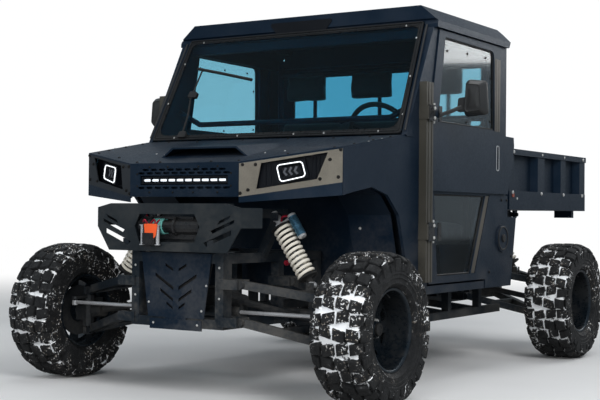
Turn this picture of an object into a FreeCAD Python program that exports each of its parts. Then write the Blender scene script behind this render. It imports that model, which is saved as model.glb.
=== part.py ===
import FreeCAD, Part
import os
from math import cos, hypot, pi, radians, sin

# A side by side utility vehicle: closed cab over long-travel arms, steel load bed that tips.
# Millimetres, +Z up, the front faces -Y, the vehicle's left is +X.
# The shapes are built about the front axle (y = 0) and moved to the middle of the length at the end.

os.makedirs("parts", exist_ok=True)

# Wheels
wheelbase = 2376.0
half_track = 890.0
tyre_radius = 343.0
tyre_half_width = 131.0
tyre_flat_count = 28
lug_depth = 20.0
lug_pitches = 16
lug_half_length = 28.0
bead_radius = 186.0
bead_play = 0.3
rim_opening_radius = 176.0
rim_wall = 6.0
rim_half_width = 104.0
rim_dish_depth = 118.0
rim_disc_thickness = 9.0
hub_radius = 62.0
spindle_radius = 25.0
running_clearance = 0.25
brake_disc_radius = 128.0

# Steering knuckle
kingpin_inset = 115.0
kingpin_x = half_track - kingpin_inset
kingpin_radius = 14.0
kingpin_half_length = 122.0
knuckle_half_height = 78.0
knuckle_radius = 30.0
moving_clearance = 6.0
steer_arm_x = kingpin_x - 10.0
steer_arm_y = -110.0
rack_z = 392.0
rack_radius = 9.0

# Suspension
arm_tube = 38.0
arm_inner_x = 345.0
arm_foot_y = 215.0
upper_arm_inner_z = 526.0
lower_arm_inner_z = 356.0
ball_joint_height = 36.0
ball_joint_radius = 28.0
shock_offset_y = 30.0
shock_top_x = 362.0
shock_top_z = 826.0
shock_foot_x = 560.0
shock_eye_radius = 17.0
shock_eye_half = 15.0
shock_pin_radius = 8.0
damper_radius = 24.0
spring_radius = 41.0
spring_wire = 7.5
spring_turns = 11
spring_steps = 8
spring_seat = 50.0
reservoir_radius = 22.0
seat_clearance = 0.3
tower_set_back = 45.0
shaft_radius = 17.0
drive_z = 440.0

# Chassis
frame_tube = 45.0
rail_x = 245.0
rail_z = 342.0
front_frame_y = -235.0
upper_rail_z = 640.0
cowl_frame_y = 560.0
side_rail_z = 306.0
rear_frame_end = wheelbase + 524.0

# Cab
cab_half_width = 800.0
cab_wall = 40.0
floor_z = 455.0
floor_thickness = 40.0
cab_front_y = 625.0
door_front_y = 735.0
cab_rear_y = wheelbase - 654.0
door_rear_y = cab_rear_y - 117.0
door_slant_run = 0.2172414 * (door_rear_y - door_front_y)
door_bottom_z = 505.0
belt_z = 1308.0
door_gap = 9.0
screen_base_y = 494.0
screen_base_z = 1234.0
screen_top_y = 800.0
screen_base_half = cab_half_width - 32.0
screen_top_half = cab_half_width - 62.0
glass_thickness = 6.0
hoop_x = cab_half_width - 110.0
hoop_y = cab_rear_y - 72.0
hoop_radius = 19.0
seat_half = cab_half_width - 165.0
headrest_x = (-seat_half + 195.0, 10.0, seat_half - 180.0)
column_x = cab_half_width - 370.0
pedal_x = (column_x - 75.0, column_x + 45.0)
seat_back_y = cab_rear_y - 202.0
headrest_back_y = cab_rear_y - 137.0
grab_z = 1336.0
seat_box_z = 690.0
roof_top_z = 1906.0
roof_skirt_z = roof_top_z - 82.0
roof_bottom_z = roof_top_z - 116.0
roof_flat_half = cab_half_width - 85.0
roof_half = cab_half_width + 12.0
roof_front_y = 791.0
roof_rear_y = cab_rear_y + 27.0
roof_wall = 36.0
door_top_z = roof_bottom_z - 6.0
screen_top_z = roof_bottom_z + 36.0
side_rail_x = cab_half_width - 200.0

# Nose
nose_y = -217.0
nose_half = 319.0
nose_top_z = 1081.0
nose_bottom_z = 922.0
lamp_plate_rise = 68.0
corner_x = cab_half_width - 47.0
corner_y = -33.0
cowl_x = cab_half_width - 13.0
hood_sheet = 8.0
hood_ridge_half = cab_half_width - 380.0
light_bar_half = 253.0
light_bar_z = 1000.0
light_bar_cells = 10

# Bumper and winch
bumper_y = -336.0
bumper_sheet = 6.0
bumper_top_z = 890.0
bumper_bottom_z = 670.0
bumper_half = 415.0
bumper_corner = 72.0
winch_z = 784.0
winch_y = -286.0

# Bed
bed_front_y = wheelbase - 471.0
bed_rear_y = wheelbase + 804.0
bed_half_width = 730.0
bed_bottom_z = 885.0
bed_top_z = 1240.0
bed_band_z = 995.0
bed_sheet = 6.0
bed_floor_thickness = 20.0
bed_recess = 44.0
bed_post_slope = 20.0
bed_hinge_y = wheelbase + 684.0
bed_hinge_z = 858.0
bed_rest_gap = 0.5
bed_pin_radius = 12.0
carrier_posts = (wheelbase - 446.0, wheelbase + 144.0, wheelbase + 486.0)
tailgate_thickness = 30.0
tailgate_pin_y = bed_rear_y - 12.0
tailgate_pin_z = 897.0
tailgate_pin_radius = 8.0
tailgate_side_gap = 9.0
lift_arm = 440.0
lift_eye_angle = 5.0
lift_foot_angle = 65.0
lift_eye_play = 8.0
lift_bracket_x = 27.0

# Front and rear ends of the whole vehicle, about the front axle
hook_reach = 372.0
body_front_y = -hook_reach
body_rear_y = bed_rear_y
length_centre = (body_front_y + body_rear_y) / 2.0


def vec(x, y, z):
    return FreeCAD.Vector(x, y, z)


def box(x0, x1, y0, y1, z0, z1):
    return Part.makeBox(x1 - x0, y1 - y0, z1 - z0, vec(x0, y0, z0))


def face(points):
    return Part.Face(Part.makePolygon(list(points) + [points[0]]))


def prism_x(outline, x0, x1):
    """Solid from an outline of (y, z) points, from x0 to x1."""
    return face([vec(x0, y, z) for y, z in outline]).extrude(vec(x1 - x0, 0, 0))


def prism_y(outline, y0, y1):
    """Solid from an outline of (x, z) points, from y0 to y1."""
    return face([vec(x, y0, z) for x, z in outline]).extrude(vec(0, y1 - y0, 0))


def prism_z(outline, z0, z1):
    """Solid from an outline of (x, y) points, from z0 to z1."""
    return face([vec(x, y, z0) for x, y in outline]).extrude(vec(0, 0, z1 - z0))


def slab(points, direction):
    """Solid from a flat face of 3-D points carried along a direction."""
    return face([vec(*p) for p in points]).extrude(vec(*direction))


def axes_square_to(direction):
    """Two unit vectors square to a direction."""
    helper = vec(0, 0, 1) if abs(direction.z) < 0.9 else vec(0, 1, 0)
    side = direction.cross(helper)
    side.normalize()
    return side, side.cross(direction)


def rod(p, q, radius, flats=0):
    """Round rod from p to q, or one of flat sides whose corners lie on the radius."""
    p, q = vec(*p), vec(*q)
    if not flats:
        return Part.makeCylinder(radius, (q - p).Length, p, q - p)
    along = q - p
    along.normalize()
    side, top = axes_square_to(along)
    turns = [2 * pi * (i + 0.5) / flats for i in range(flats)]
    return face([p + side * (radius * cos(t)) + top * (radius * sin(t)) for t in turns]).extrude(q - p)


def skin(sections, closed):
    """Solid of flat facets over sections with as many corners each, capped or closed on themselves."""
    facets = []
    pairs = list(zip(sections, sections[1:] + sections[:1]))
    if not closed:
        pairs = pairs[:-1]
        facets = [face(sections[0]), face(sections[-1])]
    for here, there in pairs:
        for j in range(len(here)):
            a, b, c, d = here[j - 1], here[j], there[j], there[j - 1]
            square = (b - a).cross(c - a)
            if abs((d - a).dot(square)) < 1e-7 * square.Length:
                facets.append(face([a, b, c, d]))
            else:
                facets += [face([a, b, c]), face([a, c, d])]
    shell = Part.Shell(facets)
    shell.sewShape()
    solid = Part.Solid(shell)
    if solid.Volume < 0:
        solid.reverse()
    return solid


def faceted_wheel(profile, flats):
    """Solid of flats round the X axis: each (x, radius to the flats) of the closed profile makes a ring."""
    sections = []
    for x, apothem in profile:
        radius = apothem / cos(pi / flats)
        turns = [2 * pi * (i + 0.5) / flats for i in range(flats)]
        sections.append([vec(x, radius * sin(t), radius * cos(t)) for t in turns])
    return skin(sections, True)


def ring(p, q, outer, inner):
    return rod(p, q, outer).cut(rod(p, q, inner))


def bar(p, q, width, height):
    """Square tube from p to q; height is measured as near to vertical as the bar allows."""
    p, q = vec(*p), vec(*q)
    along = (q - p).normalize()
    up = vec(0, 0, 1) if abs(along.z) < 0.9 else vec(0, 1, 0)
    side = along.cross(up).normalize()
    top = side.cross(along).normalize()
    a, b = side * (width / 2.0), top * (height / 2.0)
    corners = [p - a - b, p + a - b, p + a + b, p - a + b]
    return face(corners).extrude(q - p)


def fuse(shapes):
    shapes = list(shapes)
    solid = shapes[0]
    if len(shapes) > 1:
        solid = solid.multiFuse(shapes[1:])
    return solid.removeSplitter()


def mirrored(shape):
    return shape.mirror(vec(0, 0, 0), vec(1, 0, 0))


def both(shape):
    """A piece and its mirror image, as separate solids."""
    return Part.makeCompound([shape, mirrored(shape)])


nodes = {}


def node(name, shape):
    nodes[name] = shape


# Wheels

def tyre():
    """Mud tyre of the left side about its own middle: a carcass of flats, and bar lugs that reach from the
    middle of the tread over each shoulder, the two sides half a pitch apart."""
    w = tyre_half_width
    base = tyre_radius - lug_depth
    half = [(0.80 * w, bead_radius), (0.95 * w, bead_radius + 50), (0.93 * w, base - 23), (0.70 * w, base)]
    carcass = faceted_wheel([(-x, r) for x, r in half] + [(x, r) for x, r in reversed(half)], tyre_flat_count)
    lug_line = [(0.08 * w, base - 33), (0.08 * w, tyre_radius), (0.80 * w, tyre_radius), (w, tyre_radius - 21),
                (w, base - 55), (0.80 * w, base - 55)]
    pieces = [carcass]
    for side, phase in ((1, 0.0), (-1, 0.5)):
        outline = [vec(side * x, -lug_half_length, r) for x, r in lug_line]
        lug = face(outline).extrude(vec(0, 2 * lug_half_length, 0))
        for i in range(lug_pitches):
            piece = lug.copy()
            piece.rotate(vec(0, 0, 0), vec(1, 0, 0), 360.0 * (i + phase) / lug_pitches)
            pieces.append(piece)
    return fuse(pieces)


rim_window_count = 8
rim_window = ((112.0, 9.0), (154.0, 13.0))


def rim():
    """Deep-dish rim of the left side about its own middle: barrel with flats like the tyre's bead, set-back
    disc with windows, hub and brake disc."""
    reach = rim_half_width
    inner = rim_opening_radius
    disc_x = reach - rim_dish_depth
    seat = bead_radius - bead_play
    barrel = faceted_wheel([(-reach, inner), (-reach, seat), (reach, seat), (reach, inner),
                            (reach - 14, inner - rim_wall), (-reach + 14, inner - rim_wall)], tyre_flat_count)
    disc = rod((disc_x - rim_disc_thickness, 0, 0), (disc_x, 0, 0), inner, tyre_flat_count)
    (r0, a0), (r1, a1) = rim_window
    corners = [(r * sin(radians(a)), r * cos(radians(a)))
               for r, a in ((r0, -a0), (r1, -a1), (r1, a1), (r0, a0))]
    window = prism_x(corners, disc_x - 20, disc_x + 20)
    windows = []
    for i in range(rim_window_count):
        piece = window.copy()
        piece.rotate(vec(0, 0, 0), vec(1, 0, 0), 360.0 * (i + 0.5) / rim_window_count)
        windows.append(piece)
    disc = disc.cut(windows[0].multiFuse(windows[1:]))
    hub = [rod((disc_x - 34, 0, 0), (disc_x + 6, 0, 0), hub_radius, 16),
           rod((disc_x, 0, 0), (disc_x + 44, 0, 0), hub_radius - 24, 12),
           rod((disc_x - 34, 0, 0), (disc_x - 28, 0, 0), brake_disc_radius, tyre_flat_count)]
    body = fuse([barrel, disc] + hub)
    return body.cut(rod((-reach, 0, 0), (reach, 0, 0), spindle_radius + running_clearance))


rim_disc_x = half_track + rim_half_width - rim_dish_depth
hub_back_x = rim_disc_x - 34


def upright(y, steered):
    """Wheel carrier: spindle, block and flange, and for the front the kingpin it turns on."""
    z = tyre_radius
    pieces = [
        rod((kingpin_x, y, z - knuckle_half_height), (kingpin_x, y, z + knuckle_half_height),
            knuckle_radius, 8),
        box(kingpin_x, hub_back_x - moving_clearance, y - 26, y + 26, z - 48, z + 48),
        rod((kingpin_x, y, z), (rim_disc_x + 38, y, z), spindle_radius),
    ]
    pieces.append(rod((kingpin_x, y, z - kingpin_half_length),
                      (kingpin_x, y, z + kingpin_half_length), kingpin_radius))
    caliper = box(kingpin_x + 8, hub_back_x - moving_clearance, y + 20, y + 118, z + 20, z + 62)
    pieces.append(caliper)
    if steered:
        arm_z = z + knuckle_half_height
        pieces.append(bar((kingpin_x, y, arm_z - 7), (steer_arm_x, steer_arm_y, arm_z - 7), 26, 14))
        pieces.append(rod((steer_arm_x, steer_arm_y, arm_z - 14), (steer_arm_x, steer_arm_y, arm_z), 15, 8))
    return fuse(pieces)


# Suspension arms

def eye_tabs(x, y, z, low, high, root):
    """Two plates on each side of a strut's eye, with the pin through them; root is how far each goes in y."""
    near = shock_eye_half + 1
    pieces = [box(x - 20, x + 20, y - near - 6, y - near, low, high),
              box(x - 20, x + 20, y + near, y + near + root, low, high),
              rod((x, y - near - 12, z), (x, y + near + 10, z), shock_pin_radius, 8)]
    return pieces


def arm(y, inner_z, outer_z, bore):
    """A-arm of the left side: two tubes from the frame's brackets to a boss at the wheel carrier."""
    tip = (kingpin_x, y, outer_z)
    legs = []
    for side in (-1, 1):
        foot = (arm_inner_x, y + side * arm_foot_y, inner_z)
        legs.append(bar(foot, tip, arm_tube, arm_tube))
        legs.append(rod((arm_inner_x, y + side * (arm_foot_y - 34), inner_z),
                        (arm_inner_x, y + side * (arm_foot_y + 34), inner_z), arm_tube / 2 + 3, 8))
    upper = outer_z > tyre_radius
    reach = shock_foot_x - arm_inner_x if upper else 150
    brace_x = arm_inner_x + reach
    brace_z = inner_z + (outer_z - inner_z) * reach / (kingpin_x - arm_inner_x)
    half = arm_foot_y * (1 - reach / (kingpin_x - arm_inner_x))
    legs.append(bar((brace_x, y - half, brace_z), (brace_x, y + half, brace_z), 34, 30))
    if upper:
        legs += eye_tabs(brace_x, y + shock_offset_y, shock_foot_z, brace_z, shock_foot_z + 12, 6)
    low = (kingpin_x, y, outer_z - ball_joint_height / 2)
    high = (kingpin_x, y, outer_z + ball_joint_height / 2)
    body = fuse(legs + [rod(low, high, ball_joint_radius, 8)])
    # the boss keeps the legs clear of the wheel carrier above and below it
    keep = box(kingpin_x - 60, kingpin_x + 60, y - 60, y + 60, low[2], high[2])
    outside = box(kingpin_x - 60, kingpin_x + 60, y - 60, y + 60, low[2] - 200, high[2] + 200).cut(keep)
    body = body.cut(outside)
    if bore:
        body = body.cut(rod((kingpin_x, y, outer_z - 100), (kingpin_x, y, outer_z + 100),
                            kingpin_radius + running_clearance))
    return body


def arm_pair(y, bore):
    gap = knuckle_half_height + moving_clearance + ball_joint_height / 2
    return [arm(y, upper_arm_inner_z, tyre_radius + gap, bore),
            arm(y, lower_arm_inner_z, tyre_radius - gap, bore)]


upper_arm_tip_z = tyre_radius + knuckle_half_height + moving_clearance + ball_joint_height / 2


def upper_arm_z(x):
    """Height of the upper arm's centre line at a distance x from the middle."""
    share = (x - arm_inner_x) / (kingpin_x - arm_inner_x)
    return upper_arm_inner_z + (upper_arm_tip_z - upper_arm_inner_z) * share


shock_foot_z = upper_arm_z(shock_foot_x) + 15 + shock_eye_radius + 4


def coil_spring(low, along, rise):
    """Spring of straight runs: a square wire, set on its edge, carried round the helix in even steps."""
    side, top = axes_square_to(along)
    count = spring_turns * spring_steps
    sections = []
    for i in range(count + 1):
        turn = 2 * pi * i / spring_steps
        spoke = side * cos(turn) + top * sin(turn)
        middle = low + along * (rise * i / count) + spoke * spring_radius
        sections.append([middle + spoke * spring_wire, middle + along * spring_wire,
                         middle - spoke * spring_wire, middle - along * spring_wire])
    return skin(sections, False)


def shock():
    """Coil-over strut over the front axle: damper with its eyes, spring seats and reservoir, and the coil
    spring held between the seats."""
    top = vec(shock_top_x, shock_offset_y, shock_top_z)
    foot = vec(shock_foot_x, shock_offset_y, shock_foot_z)
    along = (foot - top)
    length = along.Length
    along.normalize()
    out = vec(-along.z, 0, along.x)

    def turned(start, end, radius, flats, aside=0.0):
        p = top + along * start + out * aside
        q = top + along * end + out * aside
        return rod((p.x, p.y, p.z), (q.x, q.y, q.z), radius, flats)

    barrel_end = 0.5 * length
    upper_seat = 54.0
    lower_seat = length - 48.0
    apart = spring_seat + reservoir_radius + 4
    pieces = [turned(shock_eye_radius - 6, 41, 14, 8),
              turned(30, barrel_end, damper_radius, 12),
              turned(upper_seat - 8, upper_seat, spring_seat, 16),
              turned(barrel_end - 5, length - 30, 9, 8),
              turned(lower_seat, lower_seat + 8, spring_seat, 16),
              turned(lower_seat, length - shock_eye_radius + 6, 14, 8),
              turned(26, 154, reservoir_radius, 12, apart)]
    for p in (top, foot):
        pieces.append(rod((p.x, p.y - shock_eye_half, p.z), (p.x, p.y + shock_eye_half, p.z),
                          shock_eye_radius, 12))
    link = Part.makeBox(apart, 22, 12, vec(0, -11, -6))
    link.Placement = FreeCAD.Placement(top + along * 38, FreeCAD.Rotation(out, vec(0, 1, 0), along, "XYZ"))
    damper = fuse(pieces + [link])
    for p in (top, foot):
        damper = damper.cut(rod((p.x, p.y - 40, p.z), (p.x, p.y + 40, p.z),
                                shock_pin_radius + running_clearance))
    first = upper_seat + seat_clearance + spring_wire
    last = lower_seat - seat_clearance - spring_wire
    return [damper, coil_spring(top + along * first, along, last - first)]


# Build the wheels and their carriers
wheel_pieces = {"tyre": tyre(), "rim": rim()}
for end, y in (("front", 0.0), ("rear", wheelbase)):
    for kind, shape in wheel_pieces.items():
        left = shape.copy()
        left.translate(vec(half_track, y, tyre_radius))
        node("%s_%s_left" % (kind, end), left)
        node("%s_%s_right" % (kind, end), mirrored(left))

knuckle = upright(0.0, True)
node("knuckle_left", knuckle)
node("knuckle_right", mirrored(knuckle))
node("rear_hub_carriers", both(upright(wheelbase, False)))

arms = []
for y in (0.0, wheelbase):
    arms += arm_pair(y, True)
node("suspension_arms", Part.makeCompound(arms + [mirrored(a) for a in arms]))
struts = shock()
for strut in shock():
    strut.translate(vec(0, wheelbase, 0))
    struts.append(strut)
node("shocks", Part.makeCompound(struts + [mirrored(s) for s in struts]))


def axle(y):
    """Final drive between the rails with a half shaft and boots to each wheel carrier."""
    case = [
        box(-118, 118, y - 80, y + 80, drive_z - 55, drive_z + 55),
        rod((-150, y, drive_z), (150, y, drive_z), 50, 12),
    ]
    shaft_end = kingpin_x - 45
    fall = (drive_z - tyre_radius) / (shaft_end - 140)
    for side in (-1, 1):
        point = lambda x: (side * x, y, drive_z - fall * (x - 140))
        case.append(rod(point(140), point(shaft_end), shaft_radius, 8))
        case.append(rod(point(145), point(205), 36, 10))
        case.append(rod(point(shaft_end - 62), point(shaft_end + 2), 36, 10))
    return fuse(case)


node("axle_drives", Part.makeCompound([axle(0.0), axle(wheelbase)]))

# Steering rack bar with a tie rod end under each steering arm
rack = [rod((-steer_arm_x, steer_arm_y, rack_z), (steer_arm_x, steer_arm_y, rack_z), rack_radius)]
for side in (-1, 1):
    rack.append(rod((side * steer_arm_x, steer_arm_y, rack_z - 14),
                    (side * steer_arm_x, steer_arm_y, rack_z + 9), 15, 8))
node("tie_rods", fuse(rack))


# Chassis

def lower_frame():
    t = frame_tube
    half = t / 2
    bars = []

    def pair(p, q, w=t, h=t):
        bars.append(bar(p, q, w, h))
        bars.append(bar((-p[0], p[1], p[2]), (-q[0], q[1], q[2]), w, h))

    # main rails and the front box
    pair((rail_x, front_frame_y - half, rail_z), (rail_x, rear_frame_end, rail_z))
    pair((rail_x, front_frame_y - half, upper_rail_z), (rail_x, cowl_frame_y + half, upper_rail_z))
    pair((rail_x, front_frame_y, rail_z - half), (rail_x, front_frame_y, bumper_top_z - 22))
    pair((rail_x, arm_foot_y, rail_z), (rail_x, arm_foot_y, upper_rail_z))
    pair((rail_x, cowl_frame_y, rail_z), (rail_x, cowl_frame_y, upper_rail_z))
    for y in (front_frame_y, arm_foot_y, cowl_frame_y):
        for z in (rail_z, upper_rail_z):
            bars.append(bar((-rail_x, y, z), (rail_x, y, z), t, t))
    bars.append(bar((-rail_x, front_frame_y, winch_z - 62), (rail_x, front_frame_y, winch_z - 62), t, t))
    # bumper stubs
    for z in (bumper_bottom_z + 40, bumper_top_z - 52):
        pair((rail_x, front_frame_y, z), (rail_x, bumper_y + bumper_sheet, z), 34, 34)
    # seats of the final drives
    for y in (-60, 60, wheelbase - 60, wheelbase + 60):
        bars.append(bar((-rail_x, y, drive_z - 70), (rail_x, y, drive_z - 70), 40, 30))
    # arm brackets, front and rear
    for axle_y in (0.0, wheelbase):
        for side in (-1, 1):
            y = axle_y + side * arm_foot_y
            for z in (upper_arm_inner_z, lower_arm_inner_z):
                bx = arm_inner_x - 22.3
                for gap in (-1, 1):
                    pair((rail_x, y + gap * 44, z), (bx + 24, y + gap * 44, z), 12, 44)
                pair((rail_x, y - 44, z), (rail_x, y + 44, z), 44, 44)
            pair((rail_x, y, lower_arm_inner_z), (rail_x, y, upper_rail_z))
        # shock towers behind the struts, each with a bracket over the strut's eye
        eye_y = axle_y + shock_offset_y
        tower_y = eye_y + tower_set_back
        pair((rail_x, tower_y, upper_rail_z), (shock_top_x - 12, tower_y, shock_top_z + 18), 40, 40)
        bars.append(bar((-shock_top_x - 20, tower_y, shock_top_z + 22),
                        (shock_top_x + 20, tower_y, shock_top_z + 22), 40, 44))
        low, high = shock_top_z - 12, shock_top_z + shock_eye_radius + 9
        for side in (-1, 1):
            bars += eye_tabs(side * shock_top_x, eye_y, shock_top_z, low, high, tower_set_back - 36)
            bars.append(box(side * shock_top_x - 20, side * shock_top_x + 20, eye_y - shock_eye_half - 7,
                            tower_y, high - 6, high))
    pair((rail_x, wheelbase - arm_foot_y - 60, upper_rail_z),
         (rail_x, wheelbase + arm_foot_y + 60, upper_rail_z))
    # bed carrier
    carrier_z = bed_bottom_z - bed_rest_gap - half
    pair((rail_x, bed_front_y, carrier_z), (rail_x, bed_hinge_y - 34, carrier_z))
    for y in carrier_posts:
        pair((rail_x, y, rail_z), (rail_x, y, carrier_z))
        bars.append(bar((-rail_x, y, rail_z), (rail_x, y, rail_z), t, t))
    for y in carrier_posts[:2]:
        bars.append(bar((-rail_x, y, carrier_z), (rail_x, y, carrier_z), t, t))
    # hinge pin of the bed and its lugs
    for x in (rail_x - 12, -rail_x - 12):
        lug = fuse([rod((x, bed_hinge_y, bed_hinge_z), (x + 24, bed_hinge_y, bed_hinge_z), 20),
                    box(x, x + 24, bed_hinge_y - 60, bed_hinge_y, bed_hinge_z - 20, bed_hinge_z + 14)])
        bars.append(lug)
    bars.append(rod((-rail_x - 60, bed_hinge_y, bed_hinge_z), (rail_x + 60, bed_hinge_y, bed_hinge_z),
                    bed_pin_radius))
    # steering rack housing on the rails
    housing = [ring((-262, steer_arm_y, rack_z), (262, steer_arm_y, rack_z), 24,
                    rack_radius + running_clearance)]
    for side in (-1, 1):
        x0, x1 = sorted((side * 228, side * 260))
        saddle = box(x0, x1, steer_arm_y - 18, steer_arm_y + 18, rail_z, rack_z - 12)
        housing.append(saddle)
    bars += housing
    # lift pivot pin under the bed
    py, pz = lift_foot
    outer = lift_bracket_x + 12
    for x in (-outer, lift_bracket_x):
        bars.append(box(x, x + 12, py - 22, py + 22, rail_z + half - 30, pz + 20))
    bars.append(rod((-outer, py, pz), (outer, py, pz), 9.0))
    bars.append(bar((-rail_x, py, rail_z), (rail_x, py, rail_z), t, t))
    # side rails with outriggers and struts to the cab floor
    pair((side_rail_x, cab_front_y + 40, side_rail_z), (side_rail_x, wheelbase - 346, side_rail_z), 42, 42)
    for y in (cab_front_y + 95, seat_back_y - 170, cab_rear_y + 28):
        pair((rail_x, y, rail_z), (side_rail_x, y, side_rail_z), 40, 40)
        pair((side_rail_x, y, side_rail_z), (side_rail_x, y, floor_z), 40, 40)
        pair((rail_x, y, rail_z), (rail_x, y, floor_z), 40, 40)
    # hitch receiver
    bars.append(bar((-rail_x, rear_frame_end - half, rail_z), (rail_x, rear_frame_end - half, rail_z), t, t))
    receiver = box(-34, 34, rear_frame_end - half, rear_frame_end + 130, rail_z - 34, rail_z + 34)
    bars.append(receiver)
    body = fuse(bars)
    body = body.cut(box(-26, 26, rear_frame_end, rear_frame_end + 140, rail_z - 26, rail_z + 26))
    body = body.cut(rod((-60, rear_frame_end + 95, rail_z), (60, rear_frame_end + 95, rail_z), 8.0))
    return body


def lift_point(angle):
    """A point (y, z) at the lift's arm from the bed's hinge, at an angle under the level."""
    return (bed_hinge_y - lift_arm * cos(radians(angle)), bed_hinge_z - lift_arm * sin(radians(angle)))


lift_foot = lift_point(lift_foot_angle)
lift_eye = lift_point(lift_eye_angle)
node("lower_frame", lower_frame())

# Skid plate at the front of the chassis
skid_face_y = front_frame_y - frame_tube / 2
skid = slab([(-205, skid_face_y, 662), (205, skid_face_y, 662),
             (162, skid_face_y, 364), (-162, skid_face_y, 364)],
            (0, -5, 0))
skid_foot = box(-150, 150, skid_face_y - 8, skid_face_y, rail_z - 34, 356)
# slots of the herringbone: outer x, inner x, height of the inner end, rise to the outer end, width
skid_slots = ((62, 16, 590, 24, 13), (120, 14, 506, 62, 17), (92, 16, 452, 46, 15), (54, 16, 412, 24, 12))
skid = fuse([skid, skid_foot, box(-60, 60, skid_face_y - 5, skid_face_y, 350, 370)])
for outer_x, inner_slot_x, z, rise, wide in skid_slots:
    for side in (-1, 1):
        slot = [(side * inner_slot_x, z), (side * outer_x, z + rise), (side * outer_x, z + rise - wide),
                (side * inner_slot_x, z - wide)]
        skid = skid.cut(prism_y(slot, skid_face_y - 20, skid_face_y + 20))
node("skid_plate", skid)

node("engine_block", box(-200, 200, wheelbase - 586, wheelbase - 266, rail_z + frame_tube / 2, 740))

# Bumper: corners (x, z) of each right-hand slot, inner end first
bumper_slots = (((298, 812), (363, 839), (353, 822), (287, 794)),
                ((249, 767), (380, 818), (380, 804), (260, 754)),
                ((211, 713), (364, 773), (364, 751), (228, 695)))


def bumper():
    """Folded plate with a winch opening, slanted slots, wings swept back and a bracket behind each wing."""
    h = bumper_half
    s = bumper_sheet
    shoulder = bumper_top_z - 19
    waist = bumper_top_z - 109
    foot = h - bumper_corner
    half = [(h - 81, bumper_top_z), (h, shoulder), (h, waist), (foot, bumper_bottom_z)]
    plate = prism_y(half + [(-x, z) for x, z in reversed(half)], bumper_y, bumper_y + s)
    back = bumper_y + 120
    pieces = [plate,
              box(-h + 81, h - 81, bumper_y, bumper_y + 60, bumper_top_z - s, bumper_top_z),
              box(-foot, foot, bumper_y, bumper_y + 60, bumper_bottom_z, bumper_bottom_z + s)]
    for side in (-1, 1):
        wing = prism_z([(side * (h - s), bumper_y), (side * h, bumper_y),
                        (side * (h + 34), back), (side * (h + 34 - s), back)], waist, shoulder)
        gusset = prism_y([(side * (h - 30), shoulder - 4), (side * (h + 31), shoulder - 4),
                          (side * (h + 31), shoulder - 34), (side * (h - 30), waist + 6)], back - s, back)
        hole = rod((side * (h + 8), back - 20, shoulder - 26), (side * (h + 8), back + 20, shoulder - 26),
                   9, 8)
        rib = box(min(side * (h - 30), side * (h - 30 + s)), max(side * (h - 30), side * (h - 30 + s)),
                  bumper_y, back, waist + 6, shoulder - 4)
        pieces += [wing, gusset.cut(hole), rib]
    body = fuse(pieces)
    hexagon = [(-189, winch_z), (-160, winch_z + 57), (160, winch_z + 57), (189, winch_z),
               (160, winch_z - 71), (-160, winch_z - 71)]
    cuts = [prism_y(hexagon, bumper_y - 10, bumper_y + 30)]
    for corners in bumper_slots:
        for side in (-1, 1):
            cuts.append(prism_y([(side * x, z) for x, z in corners], bumper_y - 10, bumper_y + s + 2))
    return body.cut(cuts[0].multiFuse(cuts[1:]))


node("front_bumper", bumper())


def winch():
    # lengths along the drum: from x, to x, radius
    drum = [rod((x0, winch_y, winch_z), (x1, winch_y, winch_z), radius, 14)
            for x0, x1, radius in ((-112, 30, 30), (-118, -106, 46), (24, 36, 46),
                                   (36, 172, 38), (-180, -118, 38))]
    for z in (winch_z - 40, winch_z + 40):
        drum.append(box(-170, 120, winch_y - 8, winch_y + 8, z - 6, z + 6))
    # foot plate to the frame
    drum.append(box(-170, 160, winch_y, front_frame_y - frame_tube / 2, winch_z - 58, winch_z - 46))
    drum.append(box(-170, 160, winch_y - 10, winch_y + 10, winch_z - 58, winch_z - 36))
    return fuse(drum)


hook = [box(-112, -48, bumper_y - 30, bumper_y - 24, winch_z - 40, winch_z + 14)]
for x in (-127, -37):
    hook.append(rod((x, bumper_y - 10, winch_z - 80), (x, bumper_y - 10, winch_z + 8), 7, 8))
hook.append(box(-134, -30, bumper_y - 14, bumper_y, winch_z - 90, winch_z - 76))
hook.append(box(-112, -48, bumper_y - 26, bumper_y - 4, winch_z - 84, winch_z - 70))
hook.append(box(-112, -48, bumper_y - 36, bumper_y - 22, winch_z - 84, winch_z - 30))
node("winch", Part.makeCompound([winch(), fuse(hook)]))


# Nose: hood, fascia, lamp plates, fenders

def hood():
    """Folded sheet of flat panels: a middle panel and two at each side, with a raised scoop."""
    z0 = nose_top_z
    z1 = nose_top_z + lamp_plate_rise
    down = (0, 0, -hood_sheet)
    front = [(-nose_half, nose_y, z0), (nose_half, nose_y, z0)]
    rear = [(hood_ridge_half, screen_base_y, screen_base_z), (-hood_ridge_half, screen_base_y, screen_base_z)]
    pieces = [slab(front + rear, down)]
    for side in (-1, 1):
        a = (side * nose_half, nose_y, z0)
        b = (side * corner_x, corner_y, z1)
        c = (side * cowl_x, screen_base_y, screen_base_z)
        d = (side * hood_ridge_half, screen_base_y, screen_base_z)
        pieces.append(slab([a, b, c], down))
        pieces.append(slab([a, c, d], down))
    return fuse(pieces)


def hood_z(y):
    return nose_top_z + (screen_base_z - nose_top_z) * (y - nose_y) / (screen_base_y - nose_y)


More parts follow.
